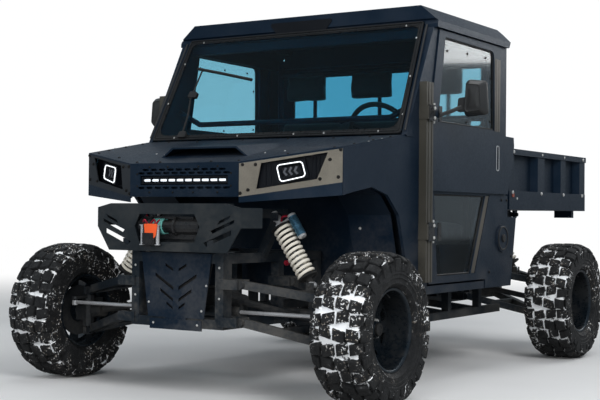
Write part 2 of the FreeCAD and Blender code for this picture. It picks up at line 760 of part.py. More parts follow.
def scoop():
    """Raised intake with an open mouth that faces forward."""
    y0, y1 = -60.0, 330.0
    wide, narrow = 262.0, 190.0
    z_front = hood_z(y0)
    z_back = hood_z(y1)
    height = 48.0
    outer = Part.makeLoft([
        Part.makePolygon([vec(-wide, y0, z_front - 4), vec(-narrow, y0, z_front + height),
                          vec(narrow, y0, z_front + height), vec(wide, y0, z_front - 4),
                          vec(-wide, y0, z_front - 4)]),
        Part.makePolygon([vec(-wide, y1, z_back - 4), vec(-narrow, y1, z_back + 2),
                          vec(narrow, y1, z_back + 2), vec(wide, y1, z_back - 4),
                          vec(-wide, y1, z_back - 4)]),
    ], True, True)
    w = 8.0
    hollow = Part.makeLoft([
        Part.makePolygon([vec(-wide + 22, y0 - 1, z_front + 2), vec(-narrow + 6, y0 - 1, z_front + height - w),
                          vec(narrow - 6, y0 - 1, z_front + height - w), vec(wide - 22, y0 - 1, z_front + 2),
                          vec(-wide + 22, y0 - 1, z_front + 2)]),
        Part.makePolygon([vec(-wide + 22, y0 + 230, hood_z(y0 + 230) + 2),
                          vec(-narrow + 6, y0 + 230, hood_z(y0 + 230) + 8),
                          vec(narrow - 6, y0 + 230, hood_z(y0 + 230) + 8),
                          vec(wide - 22, y0 + 230, hood_z(y0 + 230) + 2),
                          vec(-wide + 22, y0 + 230, hood_z(y0 + 230) + 2)]),
    ], True, True)
    return outer, hollow


scoop_outer, scoop_hollow = scoop()
node("hood", fuse([hood(), scoop_outer]).cut(scoop_hollow))


def lamp_point(s, h):
    """A point on the left lamp plate: s runs 0 to 1 outwards, h in millimetres up from its lower edge."""
    x = nose_half + (corner_x - nose_half) * s
    y = nose_y + (corner_y - nose_y) * s
    return (x, y, nose_bottom_z + lamp_plate_rise * s + h)


plate_length = hypot(corner_x - nose_half, corner_y - nose_y)
inward = ((corner_y - nose_y) / plate_length * -1.0, (corner_x - nose_half) / plate_length)
lamp_plate_height = nose_top_z - nose_bottom_z - hood_sheet


def lamp_slab(corners, depth0, depth1):
    """Solid on the lamp plate's plane from (s, h) corners, between two depths behind its face."""
    base = [lamp_point(s, h) for s, h in corners]
    base = [(x + inward[0] * depth0, y + inward[1] * depth0, z) for x, y, z in base]
    d = depth1 - depth0
    return slab(base, (inward[0] * d, inward[1] * d, 0))


full = [(0, 0), (1, 0), (1, lamp_plate_height), (0, lamp_plate_height)]
opening = [(0.169, 24), (0.757, 30), (0.86, lamp_plate_height - 8), (0.215, lamp_plate_height - 13)]
plate = lamp_slab(full, 0, 5).cut(lamp_slab(opening, -5, 10))
plate = plate.cut(box(0, nose_half + seat_clearance, nose_y - 50, nose_y + 50, 800, 1300))
node("lamp_plates", both(plate))

# Backing of each lamp bay, with the skirt under it; the middle has rows of hexagonal slots (height, shift)
mesh_rows = ((1033.0, 0.0), (1049.0, 0.5), (964.0, 0.0))
mesh_column_count = 5
mesh_pitch = 50.0
bay_end = 0.95
bay_back = lamp_slab([(0, 0), (bay_end, 0), (bay_end, lamp_plate_height), (0, lamp_plate_height)], 40, 46)
bay_floor = lamp_slab([(0, 0), (bay_end, 0), (bay_end, 5), (0, 5)], 5, 40)
bay_top = lamp_slab([(0, lamp_plate_height - 5), (bay_end, lamp_plate_height - 5),
                     (bay_end, lamp_plate_height), (0, lamp_plate_height)], 5, 40)
skirt = lamp_slab([(0, -26), (1, -58), (1, 0), (0, 0)], 0, 5)
skirt_join = lamp_slab([(0, -6), (bay_end, -6), (bay_end, 5), (0, 5)], 5.0, 12)
bay = fuse([bay_back, bay_floor, bay_top, skirt, skirt_join])
centre = box(-nose_half, nose_half, nose_y, nose_y + 12, nose_bottom_z, nose_top_z - hood_sheet)
bar_window = box(-light_bar_half - 5, light_bar_half + 5, nose_y - 1, nose_y + 13,
                 light_bar_z - 22, light_bar_z + 22)
mesh_cuts = [bar_window]
for z, shift in mesh_rows:
    for i in range(-mesh_column_count, mesh_column_count + 1 - int(shift > 0)):
        x = (i + shift) * mesh_pitch
        mesh_cuts.append(prism_y([(x - 21, z), (x - 15, z + 5.5), (x + 15, z + 5.5),
                                  (x + 21, z), (x + 15, z - 5.5),
                                  (x - 15, z - 5.5)], nose_y - 1, nose_y + 13))
centre_back = box(-nose_half + 20, nose_half - 20, nose_y + 40, nose_y + 46,
                  nose_bottom_z, nose_top_z - hood_sheet - 2)
sill = box(-nose_half, nose_half, nose_y, nose_y + 46, nose_bottom_z, nose_bottom_z + 6)
centre = centre.cut(mesh_cuts[0].multiFuse(mesh_cuts[1:]))
fascia = fuse([centre, centre_back, sill, bay, mirrored(bay)])
node("front_fascia", fascia)

# Lamps: two headlamps on the bay backing and the light bar in the middle
lamp_body = lamp_slab([(0.385, 34), (0.675, 44), (0.635, 128), (0.342, 126)], 8, 40)
lamp_body = lamp_body.cut(lamp_slab([(0.415, 47), (0.637, 57), (0.600, 114), (0.377, 112)], 0, 20))
light_bar = box(-light_bar_half, light_bar_half, nose_y + 6, nose_y + 40, light_bar_z - 17, light_bar_z + 17)
cell_pitch = 2 * (light_bar_half - 8) / light_bar_cells
for i in range(light_bar_cells):
    x = -light_bar_half + 8 + cell_pitch * i
    light_bar = light_bar.cut(box(x + 3, x + cell_pitch - 3, nose_y, nose_y + 16,
                                  light_bar_z - 13, light_bar_z + 13))
node("front_lamps", Part.makeCompound([lamp_body, mirrored(lamp_body), light_bar]))

# Fender sides with the wheel arch and its liner
fender_slope = (cowl_x - corner_x) / (screen_base_y - corner_y)


def fender_x(y):
    return corner_x + fender_slope * (y - corner_y)


def fender_top(y):
    z1 = nose_top_z + lamp_plate_rise
    return z1 - hood_sheet + (screen_base_z - z1) * (y - corner_y) / (screen_base_y - corner_y)


fender_sheet = 16.0
fender_outline = [
    (corner_y + 5, 932), (corner_y + 5, fender_top(corner_y + 5)), (screen_base_y, fender_top(screen_base_y)),
    (cab_front_y, fender_top(screen_base_y)), (cab_front_y, door_bottom_z - 30),
    (548, door_bottom_z - 30), (512, 631), (446, 847), (344, 940), (208, 974), (60, 950),
]
fender = slab([(fender_x(y), y, z) for y, z in fender_outline], (-fender_sheet, 0, 0))
liner_line = [(-20, 948), (60, 950), (208, 974), (344, 940), (446, 847), (512, 631), (548, 480)]
liner_outline = liner_line + [(y + 4, z + 5) for y, z in reversed(liner_line)]
liner = prism_x(liner_outline, cab_half_width - 300, fender_x(corner_y) - fender_sheet)
under_hood = (0, 0, -hood_sheet - seat_clearance)
hood_inner = (nose_half, nose_y, nose_top_z)
hood_rear = (cowl_x, screen_base_y, screen_base_z)
side_panel = slab([hood_inner, (corner_x, corner_y, nose_top_z + lamp_plate_rise), hood_rear], under_hood)
mid_slope = slab([hood_inner, hood_rear, (hood_ridge_half, screen_base_y, screen_base_z)], under_hood)
node("front_fenders", both(fuse([fender, liner]).cut(side_panel).cut(mid_slope)))


# Cab

slope_length = hypot(screen_top_y - screen_base_y, screen_top_z - screen_base_z)
slope = ((screen_top_y - screen_base_y) / slope_length, (screen_top_z - screen_base_z) / slope_length)


def screen_point(x, s, w):
    """A point on the windscreen: x across, s up its slope from the base, w out of its face."""
    return (x, screen_base_y + s * slope[0] - w * slope[1], screen_base_z + s * slope[1] + w * slope[0])


screen_edge = [(-screen_base_half, 0), (screen_base_half, 0), (screen_top_half, slope_length - 6),
               (-screen_top_half, slope_length - 6)]
windscreen = slab([screen_point(x, s, 0) for x, s in screen_edge],
                  (0, -slope[1] * glass_thickness, slope[0] * glass_thickness))


def cab_frame():
    """Welded frame of the cab: sills, posts, screen pillars, header and roof rails."""
    bars = []
    inner = cab_half_width - cab_wall
    outer = cab_half_width - 6
    for side in (-1, 1):
        def sbox(x0, x1, y0, y1, z0, z1):
            return box(min(side * x0, side * x1), max(side * x0, side * x1), y0, y1, z0, z1)
        # front post and rear post beside the door
        bars.append(sbox(inner - 14, outer, cab_front_y, door_front_y - door_gap, floor_z, belt_z - 6))
        bars.append(sbox(inner - 14, outer, door_rear_y + door_gap, cab_rear_y - 24, 962, roof_bottom_z))
        bars.append(sbox(inner - 14, inner + 6, door_rear_y + door_gap, cab_rear_y - 24, floor_z, 962))
        # screen pillar as a folded panel as deep as the gap to the door
        pillar = [(screen_base_y, screen_base_z), (screen_top_y - 18, roof_bottom_z),
                  (829, roof_bottom_z), (door_front_y - door_gap, belt_z), (door_front_y - door_gap, 1200),
                  (cab_front_y, 1200), (cab_front_y, fender_top(screen_base_y)),
                  (screen_base_y + 10, fender_top(screen_base_y))]
        pillar = prism_x(pillar, side * (inner - 20), side * outer)
        bars.append(pillar)
        # roof rail, folded to follow the inside of the roof
        ceiling = roof_top_z - roof_wall
        under = roof_bottom_z - 50
        rail = [(inner - 8, under), (inner - 8, roof_bottom_z + 10),
                (inner - 57, ceiling - 20), (inner - 57, ceiling),
                (inner - 120, ceiling), (inner - 120, ceiling - 30), (inner - 70, ceiling - 30),
                (inner - 48, roof_bottom_z + 10), (inner - 48, under)]
        bars.append(prism_y([(side * x, z) for x, z in rail], 830, cab_rear_y - 24))
    bars.append(box(-inner, inner, 806, 846, under, roof_bottom_z))
    bars.append(box(-inner + 40, inner - 40, cab_rear_y - 64, cab_rear_y - 24, under + 8, roof_bottom_z + 10))
    # hoop behind the seats, with a stay for each headrest
    hoop_top = roof_bottom_z - 90
    for side in (-1, 1):
        bars.append(rod((side * hoop_x, hoop_y, floor_z + floor_thickness),
                        (side * hoop_x, hoop_y, roof_bottom_z - 20), hoop_radius, 8))
        bars.append(box(min(side * hoop_x, side * (inner - 10)), max(side * hoop_x, side * (inner - 10)),
                        hoop_y - 15, hoop_y + 15, 1000, 1030))
    for z in (hoop_top, 1400):
        bars.append(rod((-hoop_x, hoop_y, z), (hoop_x, hoop_y, z), hoop_radius, 8))
    for x in headrest_x:
        bars.append(rod((x, hoop_y, 1400), (x, hoop_y, hoop_top), 12, 8))
        bars.append(rod((x, hoop_y, hoop_top - 100), (x, headrest_back_y, hoop_top - 100), 8, 8))
    # grab tube over the dash
    grab = [(-inner + 15, 1410), (-inner + 160, grab_z), (inner - 160, grab_z), (inner - 15, 1410)]
    for (x0, z0), (x1, z1) in zip(grab, grab[1:]):
        bars.append(rod((x0, 700, z0), (x1, 700, z1), 15, 8))
    body = fuse(bars)
    below = [screen_point(-900, -60, 0), screen_point(900, -60, 0), screen_point(900, slope_length + 60, 0),
             screen_point(-900, slope_length + 60, 0)]
    return body.cut(slab(below, (0, -slope[1] * 200, slope[0] * 200)))


node("cab_frame", cab_frame())


def roof():
    """Folded roof cap with chamfered sides, hollow from below."""
    outline = [(-roof_half, roof_bottom_z), (-roof_half, roof_skirt_z), (-roof_flat_half, roof_top_z),
               (roof_flat_half, roof_top_z), (roof_half, roof_skirt_z), (roof_half, roof_bottom_z)]
    cap = prism_y(outline, roof_front_y, roof_rear_y)
    w = roof_wall
    hollow = [(-roof_half + w, roof_bottom_z - 5), (-roof_half + w, roof_skirt_z - 8),
              (-roof_flat_half + 12, roof_top_z - w), (roof_flat_half - 12, roof_top_z - w),
              (roof_half - w, roof_skirt_z - 8), (roof_half - w, roof_bottom_z - 5)]
    cap = cap.cut(prism_y(hollow, roof_front_y + w, roof_rear_y - w))
    rear_cut = prism_x([(roof_rear_y - 60, roof_bottom_z - 10), (roof_rear_y + 10, roof_top_z - 10),
                        (roof_rear_y + 10, roof_bottom_z - 10)], -roof_half - 5, roof_half + 5)
    front_cut = slab([screen_point(-900, -60, 0), screen_point(900, -60, 0),
                      screen_point(900, slope_length + 4, 0), screen_point(-900, slope_length + 4, 0)],
                     (0, -slope[1] * 100, slope[0] * 100))
    return cap.cut(rear_cut).cut(front_cut)


node("roof_panel", roof())

# Rear wall with its window, and the glass of both
inner_x = cab_half_width - cab_wall - 14
rear_wall = box(-inner_x, inner_x, cab_rear_y - 24, cab_rear_y, floor_z + floor_thickness, roof_bottom_z - 14)
window_x = cab_half_width - 160
window_z = roof_bottom_z - 60
rear_window = [(-window_x, 1350), (window_x, 1350), (window_x, window_z - 40), (window_x - 40, window_z),
               (-window_x + 40, window_z), (-window_x, window_z - 40)]
upper_half = cab_half_width - 100
rear_wall = fuse([rear_wall, box(-upper_half, upper_half, cab_rear_y - 24, roof_rear_y - roof_wall,
                                 roof_bottom_z - 20, roof_top_z - roof_wall - 2)])
rear_wall = rear_wall.cut(prism_y(rear_window, cab_rear_y - 40, cab_rear_y + 10))
node("rear_wall", rear_wall)
rear_glass = prism_y(rear_window, cab_rear_y - 15, cab_rear_y - 15 + glass_thickness)
node("cab_glass", Part.makeCompound([windscreen, rear_glass]))

# Floor and sills
slant_top = (door_rear_y, 963.0)
slant_foot = (door_rear_y - door_slant_run, door_bottom_z)
floor = [box(-inner_x, inner_x, cab_front_y, cab_rear_y, floor_z, floor_z + floor_thickness)]
for side in (-1, 1):
    x0, x1 = sorted((side * inner_x, side * (cab_half_width - 6)))
    floor.append(box(x0, x1, door_front_y - door_gap, slant_foot[0] - 6, floor_z, floor_z + floor_thickness))
firewall = box(-inner_x, inner_x, cab_front_y, cab_front_y + 12, floor_z, 1180)
seat_box = box(-seat_half + 5, seat_half - 5, seat_back_y - 320, seat_back_y + 80,
               floor_z + floor_thickness - 5, seat_box_z)
pedals = []
for x in pedal_x:
    pedals.append(bar((x, cab_front_y + 6, 690), (x, cab_front_y + 80, 610), 14, 14))
    pedals.append(box(x - 30, x + 30, cab_front_y + 72, cab_front_y + 84, 570, 640))
node("floor_pan", fuse(floor + [firewall, seat_box] + pedals))

# Quarter panels behind the doors, with the filler cover
quarter = [(slant_foot[0] + door_gap, floor_z), (slant_foot[0] + door_gap + 3, slant_foot[1]),
           (slant_top[0] + door_gap, slant_top[1] - 3), (slant_top[0] + door_gap, 962), (cab_rear_y + 4, 962),
           (cab_rear_y + 4, 842), (cab_rear_y + 130, 842), (cab_rear_y + 57, floor_z)]
panel = prism_x(quarter, cab_half_width - 34, cab_half_width - 6)
filler_y = cab_rear_y - 76
filler = rod((cab_half_width - 6, filler_y, 723), (cab_half_width + 4, filler_y, 723), 76)
node("quarter_panels", both(fuse([panel, filler])))

# Hinge posts and their clamps
hinge_x = cab_half_width + 28.0
hinge_y = 722.0
hinge_heights = ((1317.0, 1381.0), (728.0, 804.0))
post = box(cab_half_width - 6, cab_half_width + 34, 630, 704, 518, 1500)
grooves = [box(cab_half_width + 26, cab_half_width + 40, y, y + 8, 517, 1501) for y in (646, 680)]
post = post.cut(grooves[0].multiFuse(grooves[1:]))
clamps = []
for z0, z1 in hinge_heights:
    clamps.append(box(cab_half_width - 6, cab_half_width + 44, 626, 706, z0, z1))
    for low, high in ((z0, z0 + 16), (z1 - 16, z1)):
        clamps.append(rod((hinge_x, hinge_y, low), (hinge_x, hinge_y, high), 13, 10))
        clamps.append(box(hinge_x - 12, hinge_x + 12, 700, hinge_y, low, high))
    clamps.append(rod((hinge_x, hinge_y, z0 - 4), (hinge_x, hinge_y, z1 + 4), 6, 10))
node("hinge_posts", both(fuse([post] + clamps)))


# Doors

door_outline = [(door_front_y, door_bottom_z), (door_front_y, belt_z), (838, door_top_z),
                (door_rear_y, door_top_z), (door_rear_y, slant_top[1]), (slant_foot[0], door_bottom_z)]
upper_window = [(824, 1316), (905, door_top_z - 31), (door_rear_y - 125, door_top_z - 34),
                (door_rear_y - 102, door_top_z - 42), (door_rear_y - 92, door_top_z - 66),
                (door_rear_y - 85, 1316)]
lower_window = [(785, 955), (door_rear_y - 201, 955), (slant_foot[0] - 197, 541), (827, 541)]
slant_member = [(door_rear_y - 192, 958), (door_rear_y - 140, 958), (slant_foot[0] - 136, 541),
                (slant_foot[0] - 188, 541)]
mid_panel = [(742, 968), (742, 1302), (door_rear_y + 158, 1290), (door_rear_y + 165, 1240),
             (door_rear_y + 85, 985), (door_rear_y + 79, 968)]


def door():
    """Door of the left side: frame, windows, raised middle panel, hinge leaves and handle slot."""
    inner = cab_half_width - cab_wall
    body = prism_x(door_outline, inner, cab_half_width)
    body = body.cut(prism_x(upper_window, inner - 5, cab_half_width + 5))
    body = body.cut(prism_x(lower_window, inner - 5, cab_half_width + 5))
    body = body.cut(prism_x(slant_member, cab_half_width - 5, cab_half_width + 5))
    panel = prism_x(mid_panel, cab_half_width, cab_half_width + 14)
    handle = box(cab_half_width + 6, cab_half_width + 30, door_rear_y - 79, door_rear_y - 59, 1105, 1222)
    panel = panel.cut(handle)
    pieces = [body, panel]
    for z0, z1 in hinge_heights:
        low, high = z0 + 16.3, z1 - 16.3
        pieces.append(rod((hinge_x, hinge_y, low), (hinge_x, hinge_y, high), 13, 10))
        pieces.append(box(hinge_x - 4, hinge_x + 12, hinge_y, hinge_y + 60, low, high))
        pieces.append(box(cab_half_width, hinge_x + 12, hinge_y + 30, hinge_y + 60, low, high))
    solid = fuse(pieces)
    for z0, z1 in hinge_heights:
        solid = solid.cut(rod((hinge_x, hinge_y, z0), (hinge_x, hinge_y, z1), 6 + running_clearance))
    return solid


def door_glass():
    inner = cab_half_width - 16
    return [prism_x(outline, inner, inner + glass_thickness) for outline in (upper_window, lower_window)]


left_door = door()
node("door_left", left_door)
node("door_right", mirrored(left_door))
panes = door_glass()
node("door_glass_left", Part.makeCompound(panes))
node("door_glass_right", Part.makeCompound([mirrored(p) for p in panes]))


# corners of the mirror's head in front, and round its glass behind: out from the door's face, height
mirror_front = ((144, 1352), (246, 1362), (236, 1496), (156, 1506))
mirror_back = ((128, 1338), (262, 1346), (252, 1514), (140, 1526))


def mirror_unit():
    """Outside mirror of the left door: arm, neck and angular head."""
    leaf_x = hinge_x + 12 + seat_clearance
    face_x = cab_half_width
    arm_piece = bar((hinge_x - 20, hinge_y + 24, 1330), (face_x + 130, 834, 1378), 30, 24)
    arm_piece = arm_piece.cut(box(0, leaf_x, 500, 1000, 1200, 1500))
    neck = prism_y([(face_x + 105, 1356), (face_x + 105, 1410), (face_x + 160, 1440), (face_x + 160, 1360)],
                   818, 846)
    sections = [[vec(face_x + x, 806, z) for x, z in mirror_front],
                [vec(face_x + x, 862, z) for x, z in mirror_back]]
    return fuse([arm_piece, neck, skin(sections, False)])


left_mirror = mirror_unit()
node("mirror_left", left_mirror)
node("mirror_right", mirrored(left_mirror))

# Dash, column and steering wheel
wheel_centre = vec(column_x, 905.0, 1262.0)
column_tilt = 27.0
column_axis = vec(0, cos(radians(column_tilt)), sin(radians(column_tilt)))
dash = prism_x([(cab_front_y + 12, 960), (cab_front_y + 12, 1224), (700, 1236),
                (768, 1190), (756, 1010), (720, 960)],
               -inner_x + 6, inner_x - 6)
column_foot = wheel_centre - column_axis * 220
column = Part.makeCylinder(26, 220 - 34, column_foot, column_axis)
stub = Part.makeCylinder(11, 220 + 6, column_foot, column_axis)
node("dashboard", fuse([dash, column, stub]))
hub_ends = [wheel_centre + column_axis * s for s in (-20, 6)]
hub = rod(tuple(hub_ends[0]), tuple(hub_ends[1]), 30, 12)
grip = [(14 * cos(t), 176 + 14 * sin(t)) for t in [2 * pi * (i + 0.5) / 6 for i in range(6)]]
rim_ring = faceted_wheel(grip, 24)
rim_ring.Placement = FreeCAD.Placement(wheel_centre, FreeCAD.Rotation(vec(1, 0, 0), column_axis))
spokes = []
right_dir = vec(1, 0, 0)
up_dir = column_axis.cross(right_dir)
for angle in (90.0, 200.0, 340.0):
    d = right_dir * cos(radians(angle)) + up_dir * sin(radians(angle))
    a = wheel_centre + d * 20
    b = wheel_centre + d * 170
    spokes.append(rod((a.x, a.y, a.z), (b.x, b.y, b.z), 8, 8))
wheel_hole = Part.makeCylinder(11 + running_clearance, 60, wheel_centre - column_axis * 40, column_axis)
node("steering_wheel", fuse([hub, rim_ring] + spokes).cut(wheel_hole))

# Bench seat for three
y = seat_back_y
cushion = prism_x([(y - 370, seat_box_z), (y - 370, 790), (y - 330, 815), (y, 800), (y, seat_box_z)],
                  -seat_half, seat_half)
y += seat_clearance
backrest = prism_x([(y, seat_box_z), (y, 805), (y - 23, 835), (y + 40, 1400), (y + 65, 1420), (y + 99, 1412),
                    (y + 92, seat_box_z)], -seat_half, seat_half)
y = headrest_back_y
z = roof_bottom_z - 265
headrests = [prism_x([(y - 65, z), (y - 75, z + 75), (y - 60, z + 165), (y, z + 165), (y, z)],
                     x - 135, x + 135)
             for x in headrest_x]
node("bench_seat", Part.makeCompound([cushion, backrest] + headrests))


# Load bed

def bed():
    """Steel box with recessed bays between posts, a deep lower band, a top rail and hinge lugs."""
    h = bed_half_width
    y0, y1 = bed_front_y, bed_rear_y
    r = bed_recess
    s = bed_sheet
    lamp_half = h - r - s - 80
    floor_end = tailgate_pin_y - 33
    pieces = [box(-h + r, h - r, y0 + r, floor_end, bed_bottom_z, bed_bottom_z + bed_floor_thickness)]
    # posts between the recessed bays: from, to
    post_spans = ((y0, y0 + 90), (y0 + 422, y0 + 570), (y0 + 811, y0 + 935), (y1 - 120, y1))
    for side in (-1, 1):
        def sbox(x0, x1, ya, yb, z0, z1):
            return box(min(side * x0, side * x1), max(side * x0, side * x1), ya, yb, z0, z1)
        pieces.append(sbox(h - r - s, h - r, y0, y1, bed_bottom_z, bed_top_z))
        pieces.append(sbox(h - r - s, h, y0, y1, bed_bottom_z, bed_band_z))
        pieces.append(sbox(h - r - s, h + 6, y0, y1, bed_top_z - 34, bed_top_z))
        for a, b in post_spans:
            start = 0 if a == y0 else bed_post_slope
            end = 0 if b == y1 else bed_post_slope
            plan = [(side * (h - r - s), a), (side * (h - r), a), (side * (h - 2), a + start),
                    (side * (h - 2), b - end), (side * (h - r), b), (side * (h - r - s), b)]
            pieces.append(prism_z(plan, bed_bottom_z, bed_top_z))
        # tail lamp housing under the rear corner
        pieces.append(sbox(lamp_half - 60, lamp_half + 60, y1 - 62, y1 - 22, bed_bottom_z - 46, bed_bottom_z))
        pieces.append(rod((side * (h - r - s - 30), tailgate_pin_y, tailgate_pin_z),
                          (side * (h - r), tailgate_pin_y, tailgate_pin_z), tailgate_pin_radius))
        pieces.append(sbox(rail_x + 28, rail_x + 46, bed_hinge_y - 24, bed_hinge_y + 24,
                           bed_hinge_z, bed_bottom_z))
        pieces.append(rod((side * (rail_x + 28), bed_hinge_y, bed_hinge_z),
                          (side * (rail_x + 46), bed_hinge_y, bed_hinge_z), 24))
    # head board
    pieces.append(box(-h + r, h - r, y0 + r, y0 + r + s, bed_bottom_z, bed_top_z))
    pieces.append(box(-h, h, y0, y0 + r + s, bed_bottom_z, bed_band_z))
    pieces.append(box(-h, h, y0 - 6, y0 + r + s, bed_top_z - 34, bed_top_z))
    for x in (-420, -150, 150, 420):
        pieces.append(box(x - 45, x + 45, y0 + 2, y0 + r + s, bed_bottom_z, bed_top_z))
    # bracket of the lift
    ey, ez = lift_eye
    for x in (-40, 30):
        pieces.append(box(x, x + 10, ey - 24, ey + 24, ez - 20, bed_bottom_z))
    pieces.append(rod((-40, ey, ez), (40, ey, ez), 8.0))
    body = fuse(pieces)
    for side in (-1, 1):
        body = body.cut(rod((side * (rail_x), bed_hinge_y, bed_hinge_z),
                            (side * (rail_x + 60), bed_hinge_y, bed_hinge_z),
                             bed_pin_radius + running_clearance))
    return body


node("bed", bed())

tail_half = bed_half_width - bed_recess - bed_sheet - tailgate_side_gap
back = tailgate_pin_y + tailgate_thickness / 2 - 3
tail = [box(-tail_half, tail_half, back - tailgate_thickness, back, tailgate_pin_z + 18, bed_top_z)]
for x in (-400, -133, 133, 400):
    tail.append(box(x - 40, x + 40, back - tailgate_thickness, back, tailgate_pin_z + 18, bed_top_z))
for side in (-1, 1):
    x0, x1 = sorted((side * (tail_half - 26), side * tail_half))
    tail.append(box(x0, x1, tailgate_pin_y - 12, tailgate_pin_y + 12, tailgate_pin_z, tailgate_pin_z + 20))
    tail.append(rod((x0, tailgate_pin_y, tailgate_pin_z), (x1, tailgate_pin_y, tailgate_pin_z), 12))
tailgate = fuse(tail)
for side in (-1, 1):
    tailgate = tailgate.cut(rod((side * (tail_half - 30), tailgate_pin_y, tailgate_pin_z),
                                (side * (tail_half + 5), tailgate_pin_y, tailgate_pin_z),
                                tailgate_pin_radius + running_clearance))
node("tailgate", tailgate)

# Lift cylinder under the bed
foot = vec(0, lift_foot[0], lift_foot[1])
eye = vec(0, lift_eye[0], lift_eye[1])
lift_axis = (eye - foot)
lift_length = lift_axis.Length
lift_axis.normalize()
barrel_length = 370.0
barrel = Part.makeCylinder(24, barrel_length - 24, foot + lift_axis * 24, lift_axis)
barrel_eye = rod((-18, foot.y, foot.z), (18, foot.y, foot.z), 24)
barrel = fuse([barrel, barrel_eye])
barrel = barrel.cut(rod((-40, foot.y, foot.z), (40, foot.y, foot.z), 9.0 + running_clearance))
barrel = barrel.cut(Part.makeCylinder(15 + running_clearance, barrel_length, foot + lift_axis * 50, lift_axis))
node("lift_barrel", barrel)
piston = Part.makeCylinder(15, lift_length - 70, foot + lift_axis * 55, lift_axis)
eye_radius = 8.0 + lift_eye_play
rod_eye = rod((-16, eye.y, eye.z), (16, eye.y, eye.z), eye_radius + 9)
lift_rod = fuse([piston, rod_eye]).cut(rod((-40, eye.y, eye.z), (40, eye.y, eye.z), eye_radius))
node("lift_rod", lift_rod)

for name, shape in nodes.items():
    placed = shape.copy()
    placed.translate(vec(0, -length_centre, 0))
    placed.exportStep("parts/%s.step" % name)
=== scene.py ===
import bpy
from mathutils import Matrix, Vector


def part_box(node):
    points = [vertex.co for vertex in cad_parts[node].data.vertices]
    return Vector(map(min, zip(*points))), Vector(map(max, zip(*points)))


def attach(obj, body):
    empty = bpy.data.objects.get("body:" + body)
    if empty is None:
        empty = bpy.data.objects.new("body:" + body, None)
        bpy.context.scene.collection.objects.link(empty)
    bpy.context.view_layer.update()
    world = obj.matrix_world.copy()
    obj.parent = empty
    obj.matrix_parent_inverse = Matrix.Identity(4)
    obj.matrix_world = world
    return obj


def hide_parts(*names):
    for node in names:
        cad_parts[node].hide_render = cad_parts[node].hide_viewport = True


bl_info = {
    "name": "Side by side utility vehicle",
    "version": (1, 0, 0),
    "blender": (4, 5, 0),
    "location": "View3D > Sidebar > Vehicle",
    "description": "Dresses a closed-cab utility vehicle with paint, tyres, springs, lamps, glass and seats",
    "category": "Object",
}

from math import cos, pi, radians, sin

import bmesh
import bpy
import numpy as np
from bpy.props import FloatProperty, FloatVectorProperty, IntProperty, PointerProperty
from mathutils import Matrix, Vector
from mathutils.bvhtree import BVHTree

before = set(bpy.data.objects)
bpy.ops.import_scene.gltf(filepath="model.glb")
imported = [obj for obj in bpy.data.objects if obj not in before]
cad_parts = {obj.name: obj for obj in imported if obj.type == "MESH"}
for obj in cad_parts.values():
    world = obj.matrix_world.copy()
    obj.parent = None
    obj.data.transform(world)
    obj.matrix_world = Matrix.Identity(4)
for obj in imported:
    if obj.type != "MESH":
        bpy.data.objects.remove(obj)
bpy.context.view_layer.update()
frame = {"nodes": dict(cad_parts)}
nodes = frame["nodes"]

# Places below are in metres from the ground under the middle of the front axle
tyre_low, tyre_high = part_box("tyre_front_left")
AXLE_Y = (tyre_low.y + tyre_high.y) / 2.0
WHEELBASE = 2.376
HALF_TRACK = 0.890
TYRE_RADIUS = 0.343
SIDES = (("left", 1.0), ("right", -1.0))
MERGED = 0.00002


def placed(points):
    """Points from the front axle's frame to the model's frame."""
    out = np.array(points, float)
    out[..., 1] += AXLE_Y
    return out


def facing(points, y):
    """Points of a plane that faces ahead, from (x, z) pairs, still in the front axle's frame."""
    points = np.asarray(points, float)
    return np.stack([points[:, 0], np.full(len(points), y), points[:, 1]], -1)


def on_side(points, x):
    """Points of a plane along the vehicle's side, from (y, z) pairs."""
    points = np.asarray(points, float)
    return placed(np.stack([np.full(len(points), x), points[:, 0], points[:, 1]], -1))


# Meshes

def grid_faces(rows, columns, wrap_rows=False, wrap_columns=False):
    """Quads of a grid of rows by columns of points, closed on itself where it wraps."""
    r = np.arange(rows if wrap_rows else rows - 1)
    c = np.arange(columns if wrap_columns else columns - 1)
    r, c = np.meshgrid(r, c, indexing="ij")
    r2, c2 = (r + 1) % rows, (c + 1) % columns
    quads = np.stack([r * columns + c, r * columns + c2, r2 * columns + c2, r2 * columns + c], -1)
    return quads.reshape(-1, 4)


def joined(parts):
    """One set of points and quads from several."""
    points, faces, base = [], [], 0
    for p, f in parts:
        p = np.asarray(p, float).reshape(-1, 3)
        points.append(p)
        faces.append(np.asarray(f) + base)
        base += len(p)
    return np.concatenate(points), np.concatenate(faces)


def make_object(name, finish, parts, body="chassis", replaced=(), smooth=True, weld=True,
                angle=40.0):
    """A mesh object from sets of points and quads, with its faces turned outwards, riding on a body."""
    points, faces = joined(parts)
    mesh = bpy.data.meshes.new(name)
    mesh.from_pydata(points.tolist(), [], faces.tolist())
    work = bmesh.new()
    work.from_mesh(mesh)
    if weld:
        bmesh.ops.remove_doubles(work, verts=work.verts, dist=MERGED)
        bmesh.ops.dissolve_degenerate(work, edges=work.edges, dist=MERGED / 2)
    bmesh.ops.recalc_face_normals(work, faces=work.faces)
    work.to_mesh(mesh)
    work.free()
    mesh.materials.append(finishes[finish])
    obj = bpy.data.objects.new(name, mesh)
    bpy.context.scene.collection.objects.link(obj)
    if smooth:
        mesh.shade_smooth()
        mesh.set_sharp_from_angle(angle=radians(angle))
    if replaced:
        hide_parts(*replaced)
    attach(obj, body)
    return obj


def axes_about(axis):
    """Two unit vectors square to an axis."""
    axis = np.asarray(axis, float) / np.linalg.norm(axis)
    helper = np.array((0.0, 0.0, 1.0)) if abs(axis[2]) < 0.9 else np.array((0.0, 1.0, 0.0))
    first = np.cross(helper, axis)
    first /= np.linalg.norm(first)
    return first, np.cross(axis, first)


